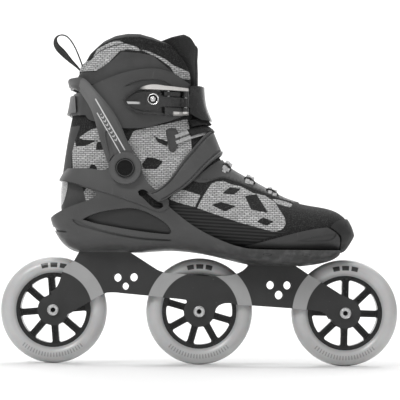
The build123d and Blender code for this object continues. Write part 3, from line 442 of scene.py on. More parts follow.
# ---- material graphs ----
class Graph:
    """One material's nodes, with short ways to add them."""

    def __init__(self, name, roughness=0.5, **sockets):
        self.material = bpy.data.materials.new(name)
        self.material.use_nodes = True
        self.nodes = self.material.node_tree.nodes
        self.links = self.material.node_tree.links
        self.shader = self.nodes["Principled BSDF"]
        self.shader.inputs["Roughness"].default_value = roughness
        for socket, value in sockets.items():
            self.shader.inputs[socket.replace("_", " ")].default_value = value
        self.place = self.add("TexCoord").outputs["Object"]

    def add(self, kind, inputs=None, **settings):
        node = self.nodes.new("ShaderNode" + kind)
        for key, value in settings.items():
            setattr(node, key, value)
        for key, value in (inputs or {}).items():
            self.put(node.inputs[key], value)
        return node

    def put(self, socket, value):
        if isinstance(value, bpy.types.NodeSocket):
            self.links.new(value, socket)
        elif socket.type == "RGBA" and isinstance(value, float):
            socket.default_value = (value, value, value, 1.0)
        else:
            socket.default_value = value

    def math(self, operation, a, b=0.0, clamp=False):
        node = self.add("Math", {0: a, 1: b}, operation=operation, use_clamp=clamp)
        return node.outputs[0]

    def step(self, value, low, high):
        """Smooth 0 to 1 as value goes from low to high."""
        node = self.add("MapRange", {"Value": value, "From Min": low, "From Max": high},
                        interpolation_type="SMOOTHSTEP")
        return node.outputs[0]

    def inside(self, value, low, high, soft):
        """1 where value lies between low and high."""
        return self.math("MULTIPLY", self.step(value, low - soft, low + soft),
                         self.step(value, high + soft, high - soft))

    def mix(self, factor, a, b):
        node = self.add("Mix", data_type="RGBA")
        self.put(node.inputs["Factor"], factor)
        self.put(node.inputs[6], a)
        self.put(node.inputs[7], b)
        return node.outputs[2]

    def blend(self, factor, a, b):
        """Number mix."""
        node = self.add("Mix", data_type="FLOAT")
        for socket, value in ((0, factor), (2, a), (3, b)):
            self.put(node.inputs[socket], value)
        return node.outputs[0]

    def noise(self, scale, detail=3.0, place=None, roughness=0.55):
        node = self.add("TexNoise", {"Vector": place or self.place, "Scale": scale,
                                     "Detail": detail, "Roughness": roughness})
        return node.outputs["Fac"]

    def cells(self, scale, feature="F1", place=None):
        node = self.add("TexVoronoi", {"Vector": place or self.place, "Scale": scale},
                        feature=feature)
        return node.outputs["Distance"]

    def stretched(self, x, y, z):
        return self.add("Mapping", {"Vector": self.place, "Scale": (x, y, z)}).outputs[0]

    def axes(self):
        """X, Y and Z in millimetres."""
        scaled = self.stretched(1000.0, 1000.0, 1000.0)
        return self.add("SeparateXYZ", {0: scaled}).outputs

    def radius(self, x, z, centre):
        """Distance in the side view from a centre, in millimetres."""
        squares = []
        for value, middle in zip((x, z), centre):
            offset = self.math("SUBTRACT", value, middle)
            squares.append(self.math("MULTIPLY", offset, offset))
        return self.math("SQRT", self.math("ADD", *squares))

    def vector(self, x, y, z=0.0):
        return self.add("CombineXYZ", {0: x, 1: y, 2: z}).outputs[0]

    def value(self, name):
        return self.add("Attribute", attribute_name=name).outputs["Fac"]

    def bump(self, height, depth_mm, normal=None):
        inputs = {"Height": height, "Distance": depth_mm * MM, "Strength": 1.0}
        if normal is not None:
            inputs["Normal"] = normal
        return self.add("Bump", inputs).outputs[0]

    def finish(self, colour, roughness=None, normal=None, **sockets):
        self.put(self.shader.inputs["Base Color"], colour)
        if roughness is not None:
            self.put(self.shader.inputs["Roughness"], roughness)
        if normal is not None:
            self.put(self.shader.inputs["Normal"], normal)
        for socket, value in sockets.items():
            self.put(self.shader.inputs[socket.replace("_", " ")], value)
        return self.material


def grey(value, warmth=0.0):
    return (value * (1 + warmth), value, value * (1 - warmth), 1.0)


def moulded(name, level, roughness=0.42, grain=0.03, scuff=0.35, accents=None, **sockets):
    """Moulded plastic: fine leathery grain, slow tone change and scuffs from use."""
    sockets.setdefault("Specular_IOR_Level", 0.32)
    g = Graph(name, roughness, **sockets)
    tone = g.step(g.noise(22.0, 2.0), 0.3, 0.7)
    colour = g.mix(tone, grey(level * 0.9), grey(level * 1.1))
    marks = g.step(g.noise(260.0, 4.0, g.stretched(1.0, 1.0, 0.18)), 0.62, 0.76)
    dust = g.math("MULTIPLY", marks, scuff)
    colour = g.mix(dust, colour, grey(min(1.0, level * 1.8 + 0.01)))
    if accents:
        colour = accents(g, colour)
    rough = g.blend(g.step(g.noise(90.0, 5.0), 0.35, 0.7), roughness - 0.07, roughness + 0.1)
    fine = g.math("ADD", g.cells(1500.0), g.math("MULTIPLY", g.noise(700.0), 0.8))
    normal = g.bump(fine, grain, g.bump(marks, 0.02))
    return g.finish(colour, rough, normal)


def steel(name, level, roughness=0.28, stretch=(1.0, 0.04, 1.0)):
    """Machined steel with fine turning lines and faint stains."""
    g = Graph(name, roughness, Metallic=1.0)
    lines = g.noise(3200.0, 2.0, g.stretched(*stretch))
    stain = g.step(g.noise(160.0, 4.0), 0.42, 0.72)
    colour = g.mix(stain, grey(level), grey(level * 0.78))
    rough = g.blend(lines, roughness - 0.08, roughness + 0.12)
    return g.finish(colour, rough, g.bump(lines, 0.012))


def painted_frame():
    """Satin black paint with pale printed arcs beside each tyre and chips scattered over it."""
    g = Graph("frame_paint", 0.4, Specular_IOR_Level=0.3, Coat_Weight=0.1, Coat_Roughness=0.3)
    x, y, z = g.axes()
    arcs = None
    for centre in WHEELS.values():
        ring = g.inside(g.radius(x, z, (centre, AXLE_Z)), 36.6, 49.8, 0.25)
        arcs = ring if arcs is None else g.math("MAXIMUM", arcs, ring)
    face = g.step(g.math("ABSOLUTE", y), 16.2, 16.35)
    arcs = g.math("MULTIPLY", arcs, face)
    print_wear = g.step(g.noise(900.0, 4.0), 0.16, 0.26)
    arcs = g.math("MULTIPLY", arcs, print_wear)
    tone = g.step(g.noise(30.0, 2.0), 0.3, 0.7)
    black = g.mix(tone, grey(0.028), grey(0.036))
    chips = g.step(g.noise(420.0, 5.0), 0.68, 0.74)
    black = g.mix(g.math("MULTIPLY", chips, 0.5), black, grey(0.16))
    pale = g.mix(g.noise(60.0), grey(0.31), grey(0.38))
    rough = g.blend(g.noise(120.0, 4.0), 0.32, 0.5)
    peel = g.math("ADD", g.noise(1400.0, 2.0), g.math("MULTIPLY", arcs, 0.6))
    return g.finish(g.mix(arcs, black, pale), rough, g.bump(peel, 0.02))


def urethane(name, centre):
    """Pale cast polyurethane: soft gloss, moulded ticks, dusty tread."""
    g = Graph(name, 0.34, Subsurface_Weight=0.12, Subsurface_Scale=0.004, Coat_Weight=0.15,
              Coat_Roughness=0.25)
    x, y, z = g.axes()
    radius = g.radius(x, z, (centre, AXLE_Z))
    turn = g.math("ARCTAN2", g.math("SUBTRACT", z, AXLE_Z), g.math("SUBTRACT", x, centre))
    teeth = g.math("FRACT", g.math("MULTIPLY", turn, 96 / (2 * math.pi)))
    bars = g.inside(teeth, 0.2, 0.62, 0.05)
    low_arc = g.inside(turn, math.radians(-132), math.radians(-48), 0.01)
    low_marks = g.math("MULTIPLY", g.inside(radius, 40.2, 44.2, 0.15),
                       g.math("MULTIPLY", bars, low_arc))
    wide = g.math("FRACT", g.math("MULTIPLY", turn, 30 / (2 * math.pi)))
    high_arc = g.inside(turn, math.radians(74), math.radians(106), 0.01)
    high_marks = g.math("MULTIPLY", g.inside(radius, 40.0, 44.4, 0.15),
                        g.math("MULTIPLY", g.inside(wide, 0.12, 0.86, 0.03), high_arc))
    marks = g.math("MAXIMUM", g.math("MULTIPLY", low_marks, 0.45), high_marks)
    tone = g.step(g.noise(35.0, 3.0), 0.3, 0.7)
    colour = g.mix(tone, grey(0.46), grey(0.52))
    inner = g.step(radius, 38.0, 35.5)
    colour = g.mix(g.math("MULTIPLY", inner, 0.45), colour, grey(0.30))
    tread = g.step(g.math("ABSOLUTE", y), 5.0, 1.5)
    dust = g.math("MULTIPLY", tread, g.step(g.noise(220.0, 5.0), 0.35, 0.65))
    colour = g.mix(g.math("MULTIPLY", dust, 0.35), colour, grey(0.24))
    colour = g.mix(marks, colour, grey(0.03))
    rough = g.blend(dust, 0.3, 0.62)
    height = g.math("SUBTRACT", g.math("MULTIPLY", g.noise(900.0, 3.0), 0.3), marks)
    return g.finish(colour, rough, g.bump(height, 0.12))


def arm_accents(g, colour):
    """Two pale printed stripes down the arm with plain chevrons between them, and a painted
    highlight on its outer faces that turn to the rear.
    """
    x, y, z = g.axes()
    along = g.math("SUBTRACT", g.math("MULTIPLY", x, 0.509), g.math("MULTIPLY", z, 0.861))
    across = g.math("ADD", g.math("MULTIPLY", x, 0.861), g.math("MULTIPLY", z, 0.509))
    first = g.math("MULTIPLY", g.inside(across, 39.9, 41.0, 0.15),
                   g.inside(along, -262.0, -206.9, 0.4))
    second = g.math("MULTIPLY", g.inside(across, 34.9, 35.8, 0.15),
                    g.inside(along, -249.9, -206.4, 0.4))
    fold = g.math("ABSOLUTE", g.math("SUBTRACT", across, 37.9))
    phase = g.math("FRACT", g.math("MULTIPLY", g.math("ADD", along, fold), 0.25))
    chevrons = g.math("MULTIPLY", g.inside(phase, 0.15, 0.5, 0.06),
                      g.math("MULTIPLY", g.inside(across, 36.6, 39.2, 0.15),
                             g.inside(along, -247.0, -217.0, 0.4)))
    pale = g.math("MAXIMUM", g.math("MAXIMUM", first, second), g.math("MULTIPLY", chevrons, 0.8))
    outer = g.step(g.math("ABSOLUTE", y), 33.0, 34.0)
    # Outer faces turned towards the rear are painted lighter: a painted highlight, not a colour of
    # the plastic.
    facing = g.add("SeparateXYZ", {0: g.add("TexCoord").outputs["Normal"]}).outputs[0]
    bevel_highlight = g.math("MULTIPLY", g.step(facing, -0.12, -0.5), outer)
    colour = g.mix(g.math("MULTIPLY", bevel_highlight, 0.8), colour, grey(0.16))
    return g.mix(g.math("MULTIPLY", pale, outer), colour, grey(0.62))


def band_accents(g, colour):
    """The rear block of the cuff is a lighter moulding."""
    x = g.axes()[0]
    return g.mix(g.step(x, -110.0, -119.0), colour, grey(0.155))


def shell_accents(g, colour):
    """Upper flange slightly lighter than the lower shell, which is dustier near the ground."""
    x, _, z = g.axes()
    colour = g.mix(g.math("MULTIPLY", g.step(z, 150.0, 178.0), 0.35), colour, grey(0.125))
    sole = g.math("MULTIPLY", g.step(x, 10.0, 50.0), g.step(z, 114.0, 106.0))
    colour = g.mix(g.math("MULTIPLY", sole, 0.7), colour, grey(0.03))
    for centre in (62.3, 98.4):
        dx = g.math("DIVIDE", g.math("SUBTRACT", x, centre), 3.4)
        dz = g.math("DIVIDE", g.math("SUBTRACT", z, 103.5), 1.2)
        oval = g.math("ADD", g.math("MULTIPLY", dx, dx), g.math("MULTIPLY", dz, dz))
        colour = g.mix(g.inside(oval, 0.7, 1.5, 0.15), colour, grey(0.016))
    low = g.math("MULTIPLY", g.step(z, 116.0, 103.0), g.step(g.noise(140.0, 5.0), 0.4, 0.7))
    return g.mix(g.math("MULTIPLY", low, 0.4), colour, grey(0.15))


def buckle_accents(g, colour):
    """Pale strip along the tray's top wall and at the tips of its lower wall: the plated strip, with
    its highlight painted into the colour.
    """
    x, y, z = g.axes()
    top = g.math("MULTIPLY", g.step(z, 254.6, 255.0), g.step(x, -58.0, -50.0))
    low = g.math("MULTIPLY", g.step(z, 235.8, 235.2), g.step(x, -27.0, -25.0))
    proud = g.step(y, -37.0, -38.0)
    # The plastic is painted pale here, partly for the plated strip and partly as a painted highlight
    # on it; the outermost part gets the full pale colour.
    bright = g.math("MULTIPLY", g.math("MAXIMUM", top, low), g.math("MAXIMUM", proud, 0.55))
    return g.mix(bright, colour, grey(0.62, 0.03))


def lever_accents(g, colour):
    """Pale tip at the lever's free end."""
    x, _, z = g.axes()
    tip = g.math("MULTIPLY", g.step(x, -56.0, -58.5), g.inside(z, 241.0, 243.2, 0.2))
    return g.mix(tip, colour, grey(0.5))


def button_accents(g, colour):
    """Two painted highlight rings on the pivot's button."""
    x, _, z = g.axes()
    radius = g.radius(x, z, PIVOT)
    # Painted highlights: pale rings where the button's rounded edges would catch the light.
    rings = g.math("MAXIMUM", g.inside(radius, 7.5, 7.9, 0.15), g.inside(radius, 9.0, 9.3, 0.15))
    return g.mix(g.math("MULTIPLY", rings, 0.5), colour, grey(0.2))


def rivet_steel():
    """Bright rivet with a domed centre and painted shade in the recess round it."""
    g = Graph("rivet_steel", 0.16, Metallic=1.0)
    x, _, z = g.axes()
    radius = g.radius(x, z, RIVET)
    # The recess is only a bump: its dark colour is painted shade.
    recess = g.inside(radius, 2.7, 4.1, 0.25)
    lines = g.math("SINE", g.math("MULTIPLY", radius, 24.0))
    colour = g.mix(recess, g.mix(g.noise(300.0), grey(0.72), grey(0.82)), grey(0.02))
    height = g.math("ADD", g.math("MULTIPLY", recess, -6.0), g.math("MULTIPLY", lines, 0.15))
    dome = g.step(radius, 2.8, 0.0)
    height = g.math("ADD", height, g.math("MULTIPLY", dome, 5.0))
    return g.finish(colour, g.blend(g.noise(200.0), 0.12, 0.26), g.bump(height, 0.15))


def axle_steel():
    """Bright axle head, with painted shade in its hexagon socket and in a groove near its rim."""
    g = Graph("axle_steel", 0.2, Metallic=1.0)
    x, _, z = g.axes()
    nearest = None
    for centre in WHEELS.values():
        radius = g.radius(x, z, (centre, AXLE_Z))
        nearest = radius if nearest is None else g.math("MINIMUM", nearest, radius)
    # The heads are plain discs: the dark centre is painted shade standing in for a hexagon socket,
    # and the dark ring is painted shade in a groove that is only a bump.
    socket = g.step(nearest, 2.35, 2.1)
    lip = g.inside(nearest, 4.4, 4.9, 0.15)
    lines = g.math("SINE", g.math("MULTIPLY", nearest, 18.0))
    colour = g.mix(g.noise(260.0), grey(0.6), grey(0.74))
    colour = g.mix(g.math("MULTIPLY", lip, 0.7), colour, grey(0.12))
    colour = g.mix(socket, colour, grey(0.015))
    height = g.math("SUBTRACT", g.math("MULTIPLY", lines, 0.1), lip)
    return g.finish(colour, g.blend(g.noise(150.0), 0.18, 0.36), g.bump(height, 0.1))


def reflector_film():
    """Pale reflective film with small prisms."""
    g = Graph("reflector_film", 0.22, Coat_Weight=0.6, Coat_Roughness=0.08)
    _, y, z = g.axes()
    flat = g.vector(g.math("MULTIPLY", y, MM), g.math("MULTIPLY", z, MM))
    prisms = g.cells(520.0, "DISTANCE_TO_EDGE", flat)
    lines = g.step(prisms, 0.0, 0.12)
    colour = g.mix(lines, grey(0.3), g.mix(g.noise(300.0), grey(0.46), grey(0.60)))
    return g.finish(colour, None, g.bump(lines, 0.08))


def weave(g, pitch_mm, place=None):
    """Height of a plain weave of crossed threads."""
    vector = place or g.place
    axis = g.add("SeparateXYZ", {0: vector}).outputs
    scale = 2 * math.pi / (pitch_mm * MM)
    waves = [g.math("SINE", g.math("MULTIPLY", a, scale)) for a in axis]
    return g.math("MULTIPLY", waves[0], g.math("ADD", waves[2], g.math("MULTIPLY", waves[1], 0.6)))


def boot_cloth():
    """Brick-woven pale patches on dark knit, ribbed side panel, smooth overlays and seams."""
    g = Graph("boot_cloth", 0.8, Specular_IOR_Level=0.2, Sheen_Weight=0.03, Sheen_Roughness=0.5)
    x, y, z = g.axes()
    sideways = g.add("SeparateXYZ", {0: g.add("NewGeometry").outputs["Normal"]}).outputs
    turned = g.step(g.math("ABSOLUTE", sideways[0]), 0.70, 0.74)
    across = g.blend(turned, x, y)
    ripple = g.math("MULTIPLY", g.math("SUBTRACT", g.noise(160.0, 2.0), 0.5), 1.6)
    wall = g.vector(g.math("ADD", across, ripple), g.math("ADD", z, g.math("MULTIPLY", ripple, 0.5)))
    bricks = g.add("TexBrick", {
        "Vector": wall, "Color1": grey(0.66), "Color2": grey(0.36), "Mortar": grey(0.045),
        "Scale": 1.0, "Mortar Size": 0.24, "Mortar Smooth": 0.35, "Bias": -0.15,
        "Brick Width": 4.3, "Row Height": 1.75}, offset=0.5, squash=1.0)
    thread = g.math("MULTIPLY", g.math("SINE", g.math("MULTIPLY", across, 7.0)), 0.5)
    pale = g.mix(g.step(g.noise(500.0, 3.0), 0.35, 0.7), bricks.outputs["Color"], grey(0.42))
    pale = g.mix(bricks.outputs["Fac"], pale, grey(0.05))

    knit_cells = g.cells(780.0)
    knit = g.mix(g.step(knit_cells, 0.15, 0.6), grey(0.030), grey(0.012))
    knit = g.mix(g.step(g.noise(700.0, 2.0), 0.55, 0.75), knit, grey(0.05))

    slope = g.math("ADD", z, g.math("MULTIPLY", x, 0.05))
    rib = g.math("SINE", g.math("MULTIPLY", slope, 2 * math.pi / 3.1))
    ribs = g.mix(g.step(rib, -0.6, 0.5), grey(0.014), grey(0.034))

    smooth = g.mix(g.step(g.noise(60.0, 3.0), 0.3, 0.7), grey(0.052), grey(0.066))

    light = g.step(g.value("light"), -0.35, 0.35)
    ribbed = g.step(g.value("rib"), -0.4, 0.4)
    plain = g.step(g.value("plain"), -0.4, 0.4)
    colour = g.mix(ribbed, knit, ribs)
    colour = g.mix(light, colour, pale)
    colour = g.mix(plain, colour, smooth)
    seam = g.step(g.math("ABSOLUTE", g.value("seam")), 0.9, 0.35)
    colour = g.mix(g.math("MULTIPLY", seam, 0.75), colour, grey(0.018))

    height = g.blend(ribbed, g.math("MULTIPLY", knit_cells, -0.6),
                     g.math("MULTIPLY", rib, 0.9))
    cloth = g.math("ADD", g.math("MULTIPLY", bricks.outputs["Fac"], -1.0),
                   g.math("MULTIPLY", thread, 0.3))
    height = g.blend(light, height, cloth)
    height = g.blend(plain, height, g.math("MULTIPLY", g.noise(1100.0, 2.0), 0.4))
    height = g.math("SUBTRACT", height, g.math("MULTIPLY", seam, 1.2))
    rough = g.blend(plain, 0.82, 0.55)
    return g.finish(colour, rough, g.bump(height, 0.32))


def knit_cloth(name, level, pitch=1.1, depth=0.22, spread=0.45):
    """Close dark knit or lining, with visible loops and a soft nap."""
    g = Graph(name, 0.85, Specular_IOR_Level=0.2, Sheen_Weight=0.06, Sheen_Roughness=0.5)
    loops = weave(g, pitch)
    tone = g.step(g.noise(80.0, 4.0), 0.3, 0.7)
    colour = g.mix(tone, grey(level * (1 - spread / 2)), grey(level * (1 + spread / 2)))
    colour = g.mix(g.step(loops, -0.2, 0.9), g.mix(0.5, colour, grey(level * 0.4)), colour)
    return g.finish(colour, None, g.bump(loops, depth))


def tape_cloth(name, level, pitch=0.9):
    """Narrow woven tape with diagonal ribs."""
    g = Graph(name, 0.7, Specular_IOR_Level=0.25, Sheen_Weight=0.04, Sheen_Roughness=0.4)
    x, y, z = g.axes()
    diagonal = g.math("ADD", g.math("ADD", x, z), g.math("MULTIPLY", y, 1.4))
    ribs = g.math("SINE", g.math("MULTIPLY", diagonal, 2 * math.pi / pitch))
    cross = g.math("SINE", g.math("MULTIPLY", g.math("SUBTRACT", y, x), 2 * math.pi / pitch))
    height = g.math("ADD", ribs, g.math("MULTIPLY", cross, 0.5))
    tone = g.step(g.noise(240.0, 3.0), 0.3, 0.7)
    base = g.mix(tone, grey(level * 0.85), grey(min(1.0, level * 1.15)))
    colour = g.mix(g.step(height, -0.8, 0.8), g.mix(0.6, base, grey(level * 0.3)), base)
    return g.finish(colour, None, g.bump(height, 0.14))


def strap_leather():
    """Smooth synthetic leather: pebble grain, creases and a slightly worn sheen."""
    g = Graph("strap_leather", 0.42, Specular_IOR_Level=0.35, Sheen_Weight=0.02)
    pebble = g.cells(900.0, "SMOOTH_F1")
    crease = g.step(g.noise(70.0, 6.0, g.stretched(1.0, 0.4, 1.7), 0.7), 0.48, 0.52)
    tone = g.step(g.noise(35.0, 3.0), 0.3, 0.7)
    colour = g.mix(tone, grey(0.064), grey(0.08))
    worn = g.step(g.noise(300.0, 4.0), 0.6, 0.75)
    colour = g.mix(g.math("MULTIPLY", worn, 0.3), colour, grey(0.12))
    rough = g.blend(g.noise(180.0, 4.0), 0.36, 0.55)
    height = g.math("ADD", pebble, g.math("MULTIPLY", crease, 0.12))
    return g.finish(colour, rough, g.bump(height, 0.06))


def foam_cloth():
    """Insole top cloth with small vent dots."""
    g = Graph("insole_cloth", 0.85, Sheen_Weight=0.1)
    x, y, _ = g.axes()
    dots = g.cells(150.0, "F1", g.vector(g.math("MULTIPLY", x, MM), g.math("MULTIPLY", y, MM)))
    holes = g.step(dots, 0.2, 0.14)
    loops = weave(g, 1.0)
    colour = g.mix(g.noise(90.0, 4.0), grey(0.05), grey(0.075))
    colour = g.mix(holes, colour, grey(0.01))
    height = g.math("SUBTRACT", g.math("MULTIPLY", loops, 0.2), holes)
    return g.finish(colour, None, g.bump(height, 0.35))


def floor_paint():
    g = Graph("floor_paint", 0.7)
    return g.finish(g.mix(g.noise(3.0), grey(0.86), grey(0.88)))


M = {
    "frame_paint": painted_frame(),
    "dark_steel": steel("dark_steel", 0.22, 0.36),
    "bright_steel": steel("bright_steel", 0.74, 0.22),
    "bearing_steel": steel("bearing_steel", 0.68, 0.16),
    "shell_plastic": moulded("shell_plastic", 0.064, 0.40, accents=shell_accents, Coat_Weight=0.12,
                             Coat_Roughness=0.3),
    "dark_plastic": moulded("dark_plastic", 0.026, 0.36, scuff=0.12),
    "arm_plastic": moulded("arm_plastic", 0.085, 0.38, accents=arm_accents, Coat_Weight=0.1,
                           Coat_Roughness=0.3),
    "black_plastic": moulded("black_plastic", 0.004, 0.12, grain=0.003, scuff=0.03,
                             accents=button_accents, Specular_IOR_Level=0.3, Coat_Weight=0.15,
                             Coat_Roughness=0.05),
    "band_plastic": moulded("band_plastic", 0.06, 0.42, accents=band_accents),
    "buckle_plastic": moulded("buckle_plastic", 0.02, 0.25, grain=0.01, scuff=0.25,
                              Coat_Weight=0.3, Coat_Roughness=0.15),
    "buckle_tray": moulded("buckle_tray", 0.035, 0.25, grain=0.01, scuff=0.25,
                           accents=buckle_accents, Coat_Weight=0.5, Coat_Roughness=0.1),
    "lever_plastic": moulded("lever_plastic", 0.018, 0.2, grain=0.01, scuff=0.2,
                             accents=lever_accents, Coat_Weight=0.5, Coat_Roughness=0.08),
    "toe_rubber": moulded("toe_rubber", 0.026, 0.6, grain=0.05, scuff=0.5),
    "guard_plastic": moulded("guard_plastic", 0.05, 0.45, grain=0.03, scuff=0.4),
    "hub_plastic": moulded("hub_plastic", 0.012, 0.3, grain=0.02, scuff=0.2, Coat_Weight=0.2,
                           Coat_Roughness=0.15),
    "rivet_steel": rivet_steel(),
    "axle_steel": axle_steel(),
    "reflector": reflector_film(),
    "cloth": boot_cloth(),
    "lining": knit_cloth("lining_cloth", 0.035, 1.3, 0.25),
    "tongue": knit_cloth("tongue_cloth", 0.034, 1.0, 0.25),
    "lace": tape_cloth("lace_cloth", 0.78, 0.8),
    "webbing": tape_cloth("webbing_cloth", 0.022, 1.0),
    "tape": tape_cloth("loop_tape", 0.02, 0.8),
    "thread": tape_cloth("thread", 0.10, 0.5),
    "leather": strap_leather(),
    "overlay": moulded("overlay_film", 0.055, 0.5, grain=0.02, scuff=0.15),
    "foam": foam_cloth(),
}


# ---- soft pieces ----
def ride_flex(piece):
    """Bakes the piece's placement into its mesh."""
    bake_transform(piece)


def opening_edge():
    """Angle of the boot's front edge at each place along it: pi where the boot is closed."""
    along = np.linspace(0, KNOTS[-1], 400)
    fine = np.linspace(math.pi - 0.9, math.pi, 60)
    sides = boot_at(along[:, None], fine[None, :])
    ridge = sides[:, -1, 0]
    narrowing = np.clip((LACE_SLOT_END - ridge) / 14.0, 0, 1)
    half_gap = np.where(ridge < LACE_SLOT_END, 9.0 * np.sqrt(narrowing), 0.0)
    offset = sides[:, :, 1] - sides[:, -1:, 1]
    slot = np.array([np.interp(-gap, -row, fine) for gap, row in zip(half_gap, offset)])
    front_along, front_angle = locate(smooth_line(COLLAR_FRONT, 60))
    order = np.argsort(front_along)
    front = np.interp(along, front_along[order], front_angle[order])
    leg = smooth_step(along, front_along.min() - 4, front_along.min() + 10)
    edge = slot * (1 - leg) + front * leg
    closed = ridge > LACE_SLOT_END
    edge[closed & (along < 120)] = math.pi
    return along, edge


EDGE_ALONG, EDGE_ANGLE = opening_edge()


def front_edge(along):
    return np.interp(along, EDGE_ALONG, EDGE_ANGLE)


def top_places(share, line, edge, start=0.6):
    """How far along the boot each column goes before it reaches a side-view top line."""
    along = np.linspace(KNOTS[-1] * start, KNOTS[-1], 300)
    tops = []
    for part in share:
        points = boot_at(along, edge(along, part))
        over = points[:, 2] - np.interp(points[:, 0], *np.array(line).T)
        first = int(np.argmax(over > 0)) if (over > 0).any() else len(along) - 1
        low, high = over[first - 1], over[first]
        tops.append(along[first - 1] + (along[first] - along[first - 1]) * -low / (high - low))
    return np.array(tops)


def cad_surface(*nodes):
    """Search tree of CAD nodes, in millimetres."""
    points, faces = [], []
    for node in nodes:
        mesh = bpy.data.objects[node].data
        base = len(points)
        points += [tuple(v.co / MM) for v in mesh.vertices]
        faces += [tuple(base + i for i in p.vertices) for p in mesh.polygons]
    return BVHTree.FromPolygons(points, faces)


def fit_to_cad(points, tree, limit=1.6):
    """Small smooth shift that lays a grid of surface points on the CAD surface."""
    shift = np.zeros_like(points)
    for index in np.ndindex(points.shape[:2]):
        place, _, _, distance = tree.find_nearest(Vector(points[index]))
        if place is not None and distance < limit:
            shift[index] = np.array(place) - points[index]
    for _ in range(3):
        wide = np.pad(shift, ((1, 1), (0, 0), (0, 0)), mode="edge")
        shift = (wide[:-2] + 2 * wide[1:-1] + wide[2:]) / 4
        shift = (np.roll(shift, 1, axis=1) + 2 * shift + np.roll(shift, -1, axis=1)) / 4
    return shift


def cloth_zones(made, points):
    """Stores each cloth zone as a distance to its outline."""
    x, z = points[:, 0], points[:, 2]
    light, dark, plain = (
        np.max([signed_distance(x, z, line) for line in zones.values()], axis=0)
        for zones in (LIGHT_PATCHES, DARK_MARKS, SMOOTH_ZONES))
    add_value(made, "light", np.clip(np.minimum(light, -dark), -9, 9))
    add_value(made, "rib", np.clip(signed_distance(x, z, RIB_ZONE), -9, 9))
    return np.clip(plain, -9, 9)


def make_boot():
    """Padded boot from toe to collar, open along the laces, with its lining."""
    radius = 4.2
    half = np.concatenate([np.linspace(0, 1 - 6 / 130, 80), 1 - np.array(
        [4.4, 3.0, 1.9, 1.0, 0.4, 0.1, 0.0]) / 130])
    share = np.concatenate([-half[::-1], half[1:]])

    def edge(along, part):
        return part * front_edge(along)

    tops = top_places(share, COLLAR_TOP, edge)
    ends = np.array([5.4, 4.0, 2.8, 1.8, 1.0, 0.4, 0.1, 0.0])
    rows = np.concatenate([np.linspace(0, 1, 235, endpoint=False) * (1 - 6.5 / 420),
                           1 - ends / 420])
    along = rows[:, None] * tops[None, :]
    angle = share[None, :] * front_edge(along)
    surface = boot_at(along, angle)
    shift = fit_to_cad(surface, cad_surface("upper", "collar", "ankle_gusset"))

    to_top = (tops[None, :] - along) * np.ones_like(angle)
    open_width = (math.pi - front_edge(along)) * RIDGE_MM_PER_RADIAN
    to_front = (1 - np.abs(share[None, :])) * 130
    opened = np.clip(open_width / 8, 0, 1)
    lip = rounded(to_top, radius) * (1 - opened * (1 - rounded(to_front, radius)))
    leg = smooth_step(along, 285, 330)
    thickness = 4.2 + 3.8 * leg
    roll = 1.5 * np.sin(math.pi * np.clip((to_top - 1) / 24, 0, 1)) * smooth_step(to_front, 0, 12)
    seam = -0.9 * np.exp(-((to_top - 9.0) / 1.1) ** 2)
    fall = 0.35 * np.sin(along / 7.0 + 3 * np.sin(angle * 2)) * leg * smooth_step(to_top, 2, 20)
    outer = -thickness / 2 * (1 - lip) + (roll + seam) * lip
    inner = -thickness / 2 * (1 + lip) - (1.8 * leg * smooth_step(to_top, 2, 20) + fall) * lip
    outside = boot_at(along, angle, outer) + shift
    inside = boot_at(along, angle, inner) + shift

    count, columns = along.shape
    faces = grid_faces(count, columns)
    lining = grid_faces(count, columns, count * columns, flip=True)
    points = np.concatenate([outside.reshape(-1, 3), inside.reshape(-1, 3)])
    made = mesh_object("boot_shell", points, faces + lining, M["cloth"])
    made.data.materials.append(M["lining"])
    made.data.polygons.foreach_set("material_index", [0] * len(faces) + [1] * len(lining))
    plain = cloth_zones(made, points)
    rim = 3.2 - np.tile(to_top.ravel(), 2)
    add_value(made, "plain", np.maximum(plain, np.clip(rim, -9, 9)))
    x, z = points[:, 0], points[:, 2]
    seams = [np.abs(z - 274 - (x + 99) * 2.4) + 50 * (z < 273) + 50 * (z > 299),
             np.abs(np.tile(to_top.ravel(), 2) - 9.0)]
    add_value(made, "seam", np.clip(np.min(seams, axis=0), -9, 9))
    tidy_mesh(made, 0.05)
    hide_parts("upper", "collar", "ankle_gusset")
    ride_flex(made)


def make_tongue():
    """Padded tongue under the laces, standing up in front of the leg."""
    share = edge_spacing(60, 90, 3.0) * 2 - 1

    def edge(along, part):
        wide = math.pi - front_edge(along) + 0.16 + 0.12 * smooth_step(along, 200, 300)
        return math.pi + part * wide

    low, _ = locate([(97.0, 151.5)])
    tops = top_places(share, TONGUE_TOP, edge)
    rows = edge_spacing(190, 260, 4.0)
    along = low[0] + rows[:, None] * (tops[None, :] - low[0])
    angle = edge(along, share[None, :])
    gap = (math.pi - front_edge(along)) * RIDGE_MM_PER_RADIAN
    from_ridge = np.abs(angle - math.pi) * RIDGE_MM_PER_RADIAN
    leg = smooth_step(along, 215, 262)
    tucked = smooth_step(from_ridge, gap - 5.0, gap + 1.0)
    surface = -4.6 * (1 - leg) + leg * (-0.4 - 8.6 * tucked)
    to_top = tops[None, :] - along
    to_low = along - low[0]
    to_side = (1 - np.abs(share[None, :])) * 45
    lip = rounded(to_top, 4.0) * rounded(to_low, 4.0) * rounded(to_side, 3.0)
    channel = -0.9 * np.exp(-((from_ridge - 11.0) / 1.2) ** 2) * leg
    puff = 0.8 * np.abs(np.sin(along / 17.0)) * leg * (1 - tucked)
    thickness = 4.6 + 2.4 * leg
    outer = surface - thickness / 2 * (1 - lip) + (channel + puff - 0.8) * lip
    inner = surface - thickness / 2 * (1 + lip)
    made = layer("tongue_pad", along, angle, inner, outer, M["tongue"])
    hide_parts("tongue_lower", "tongue_upper")
    ride_flex(made)


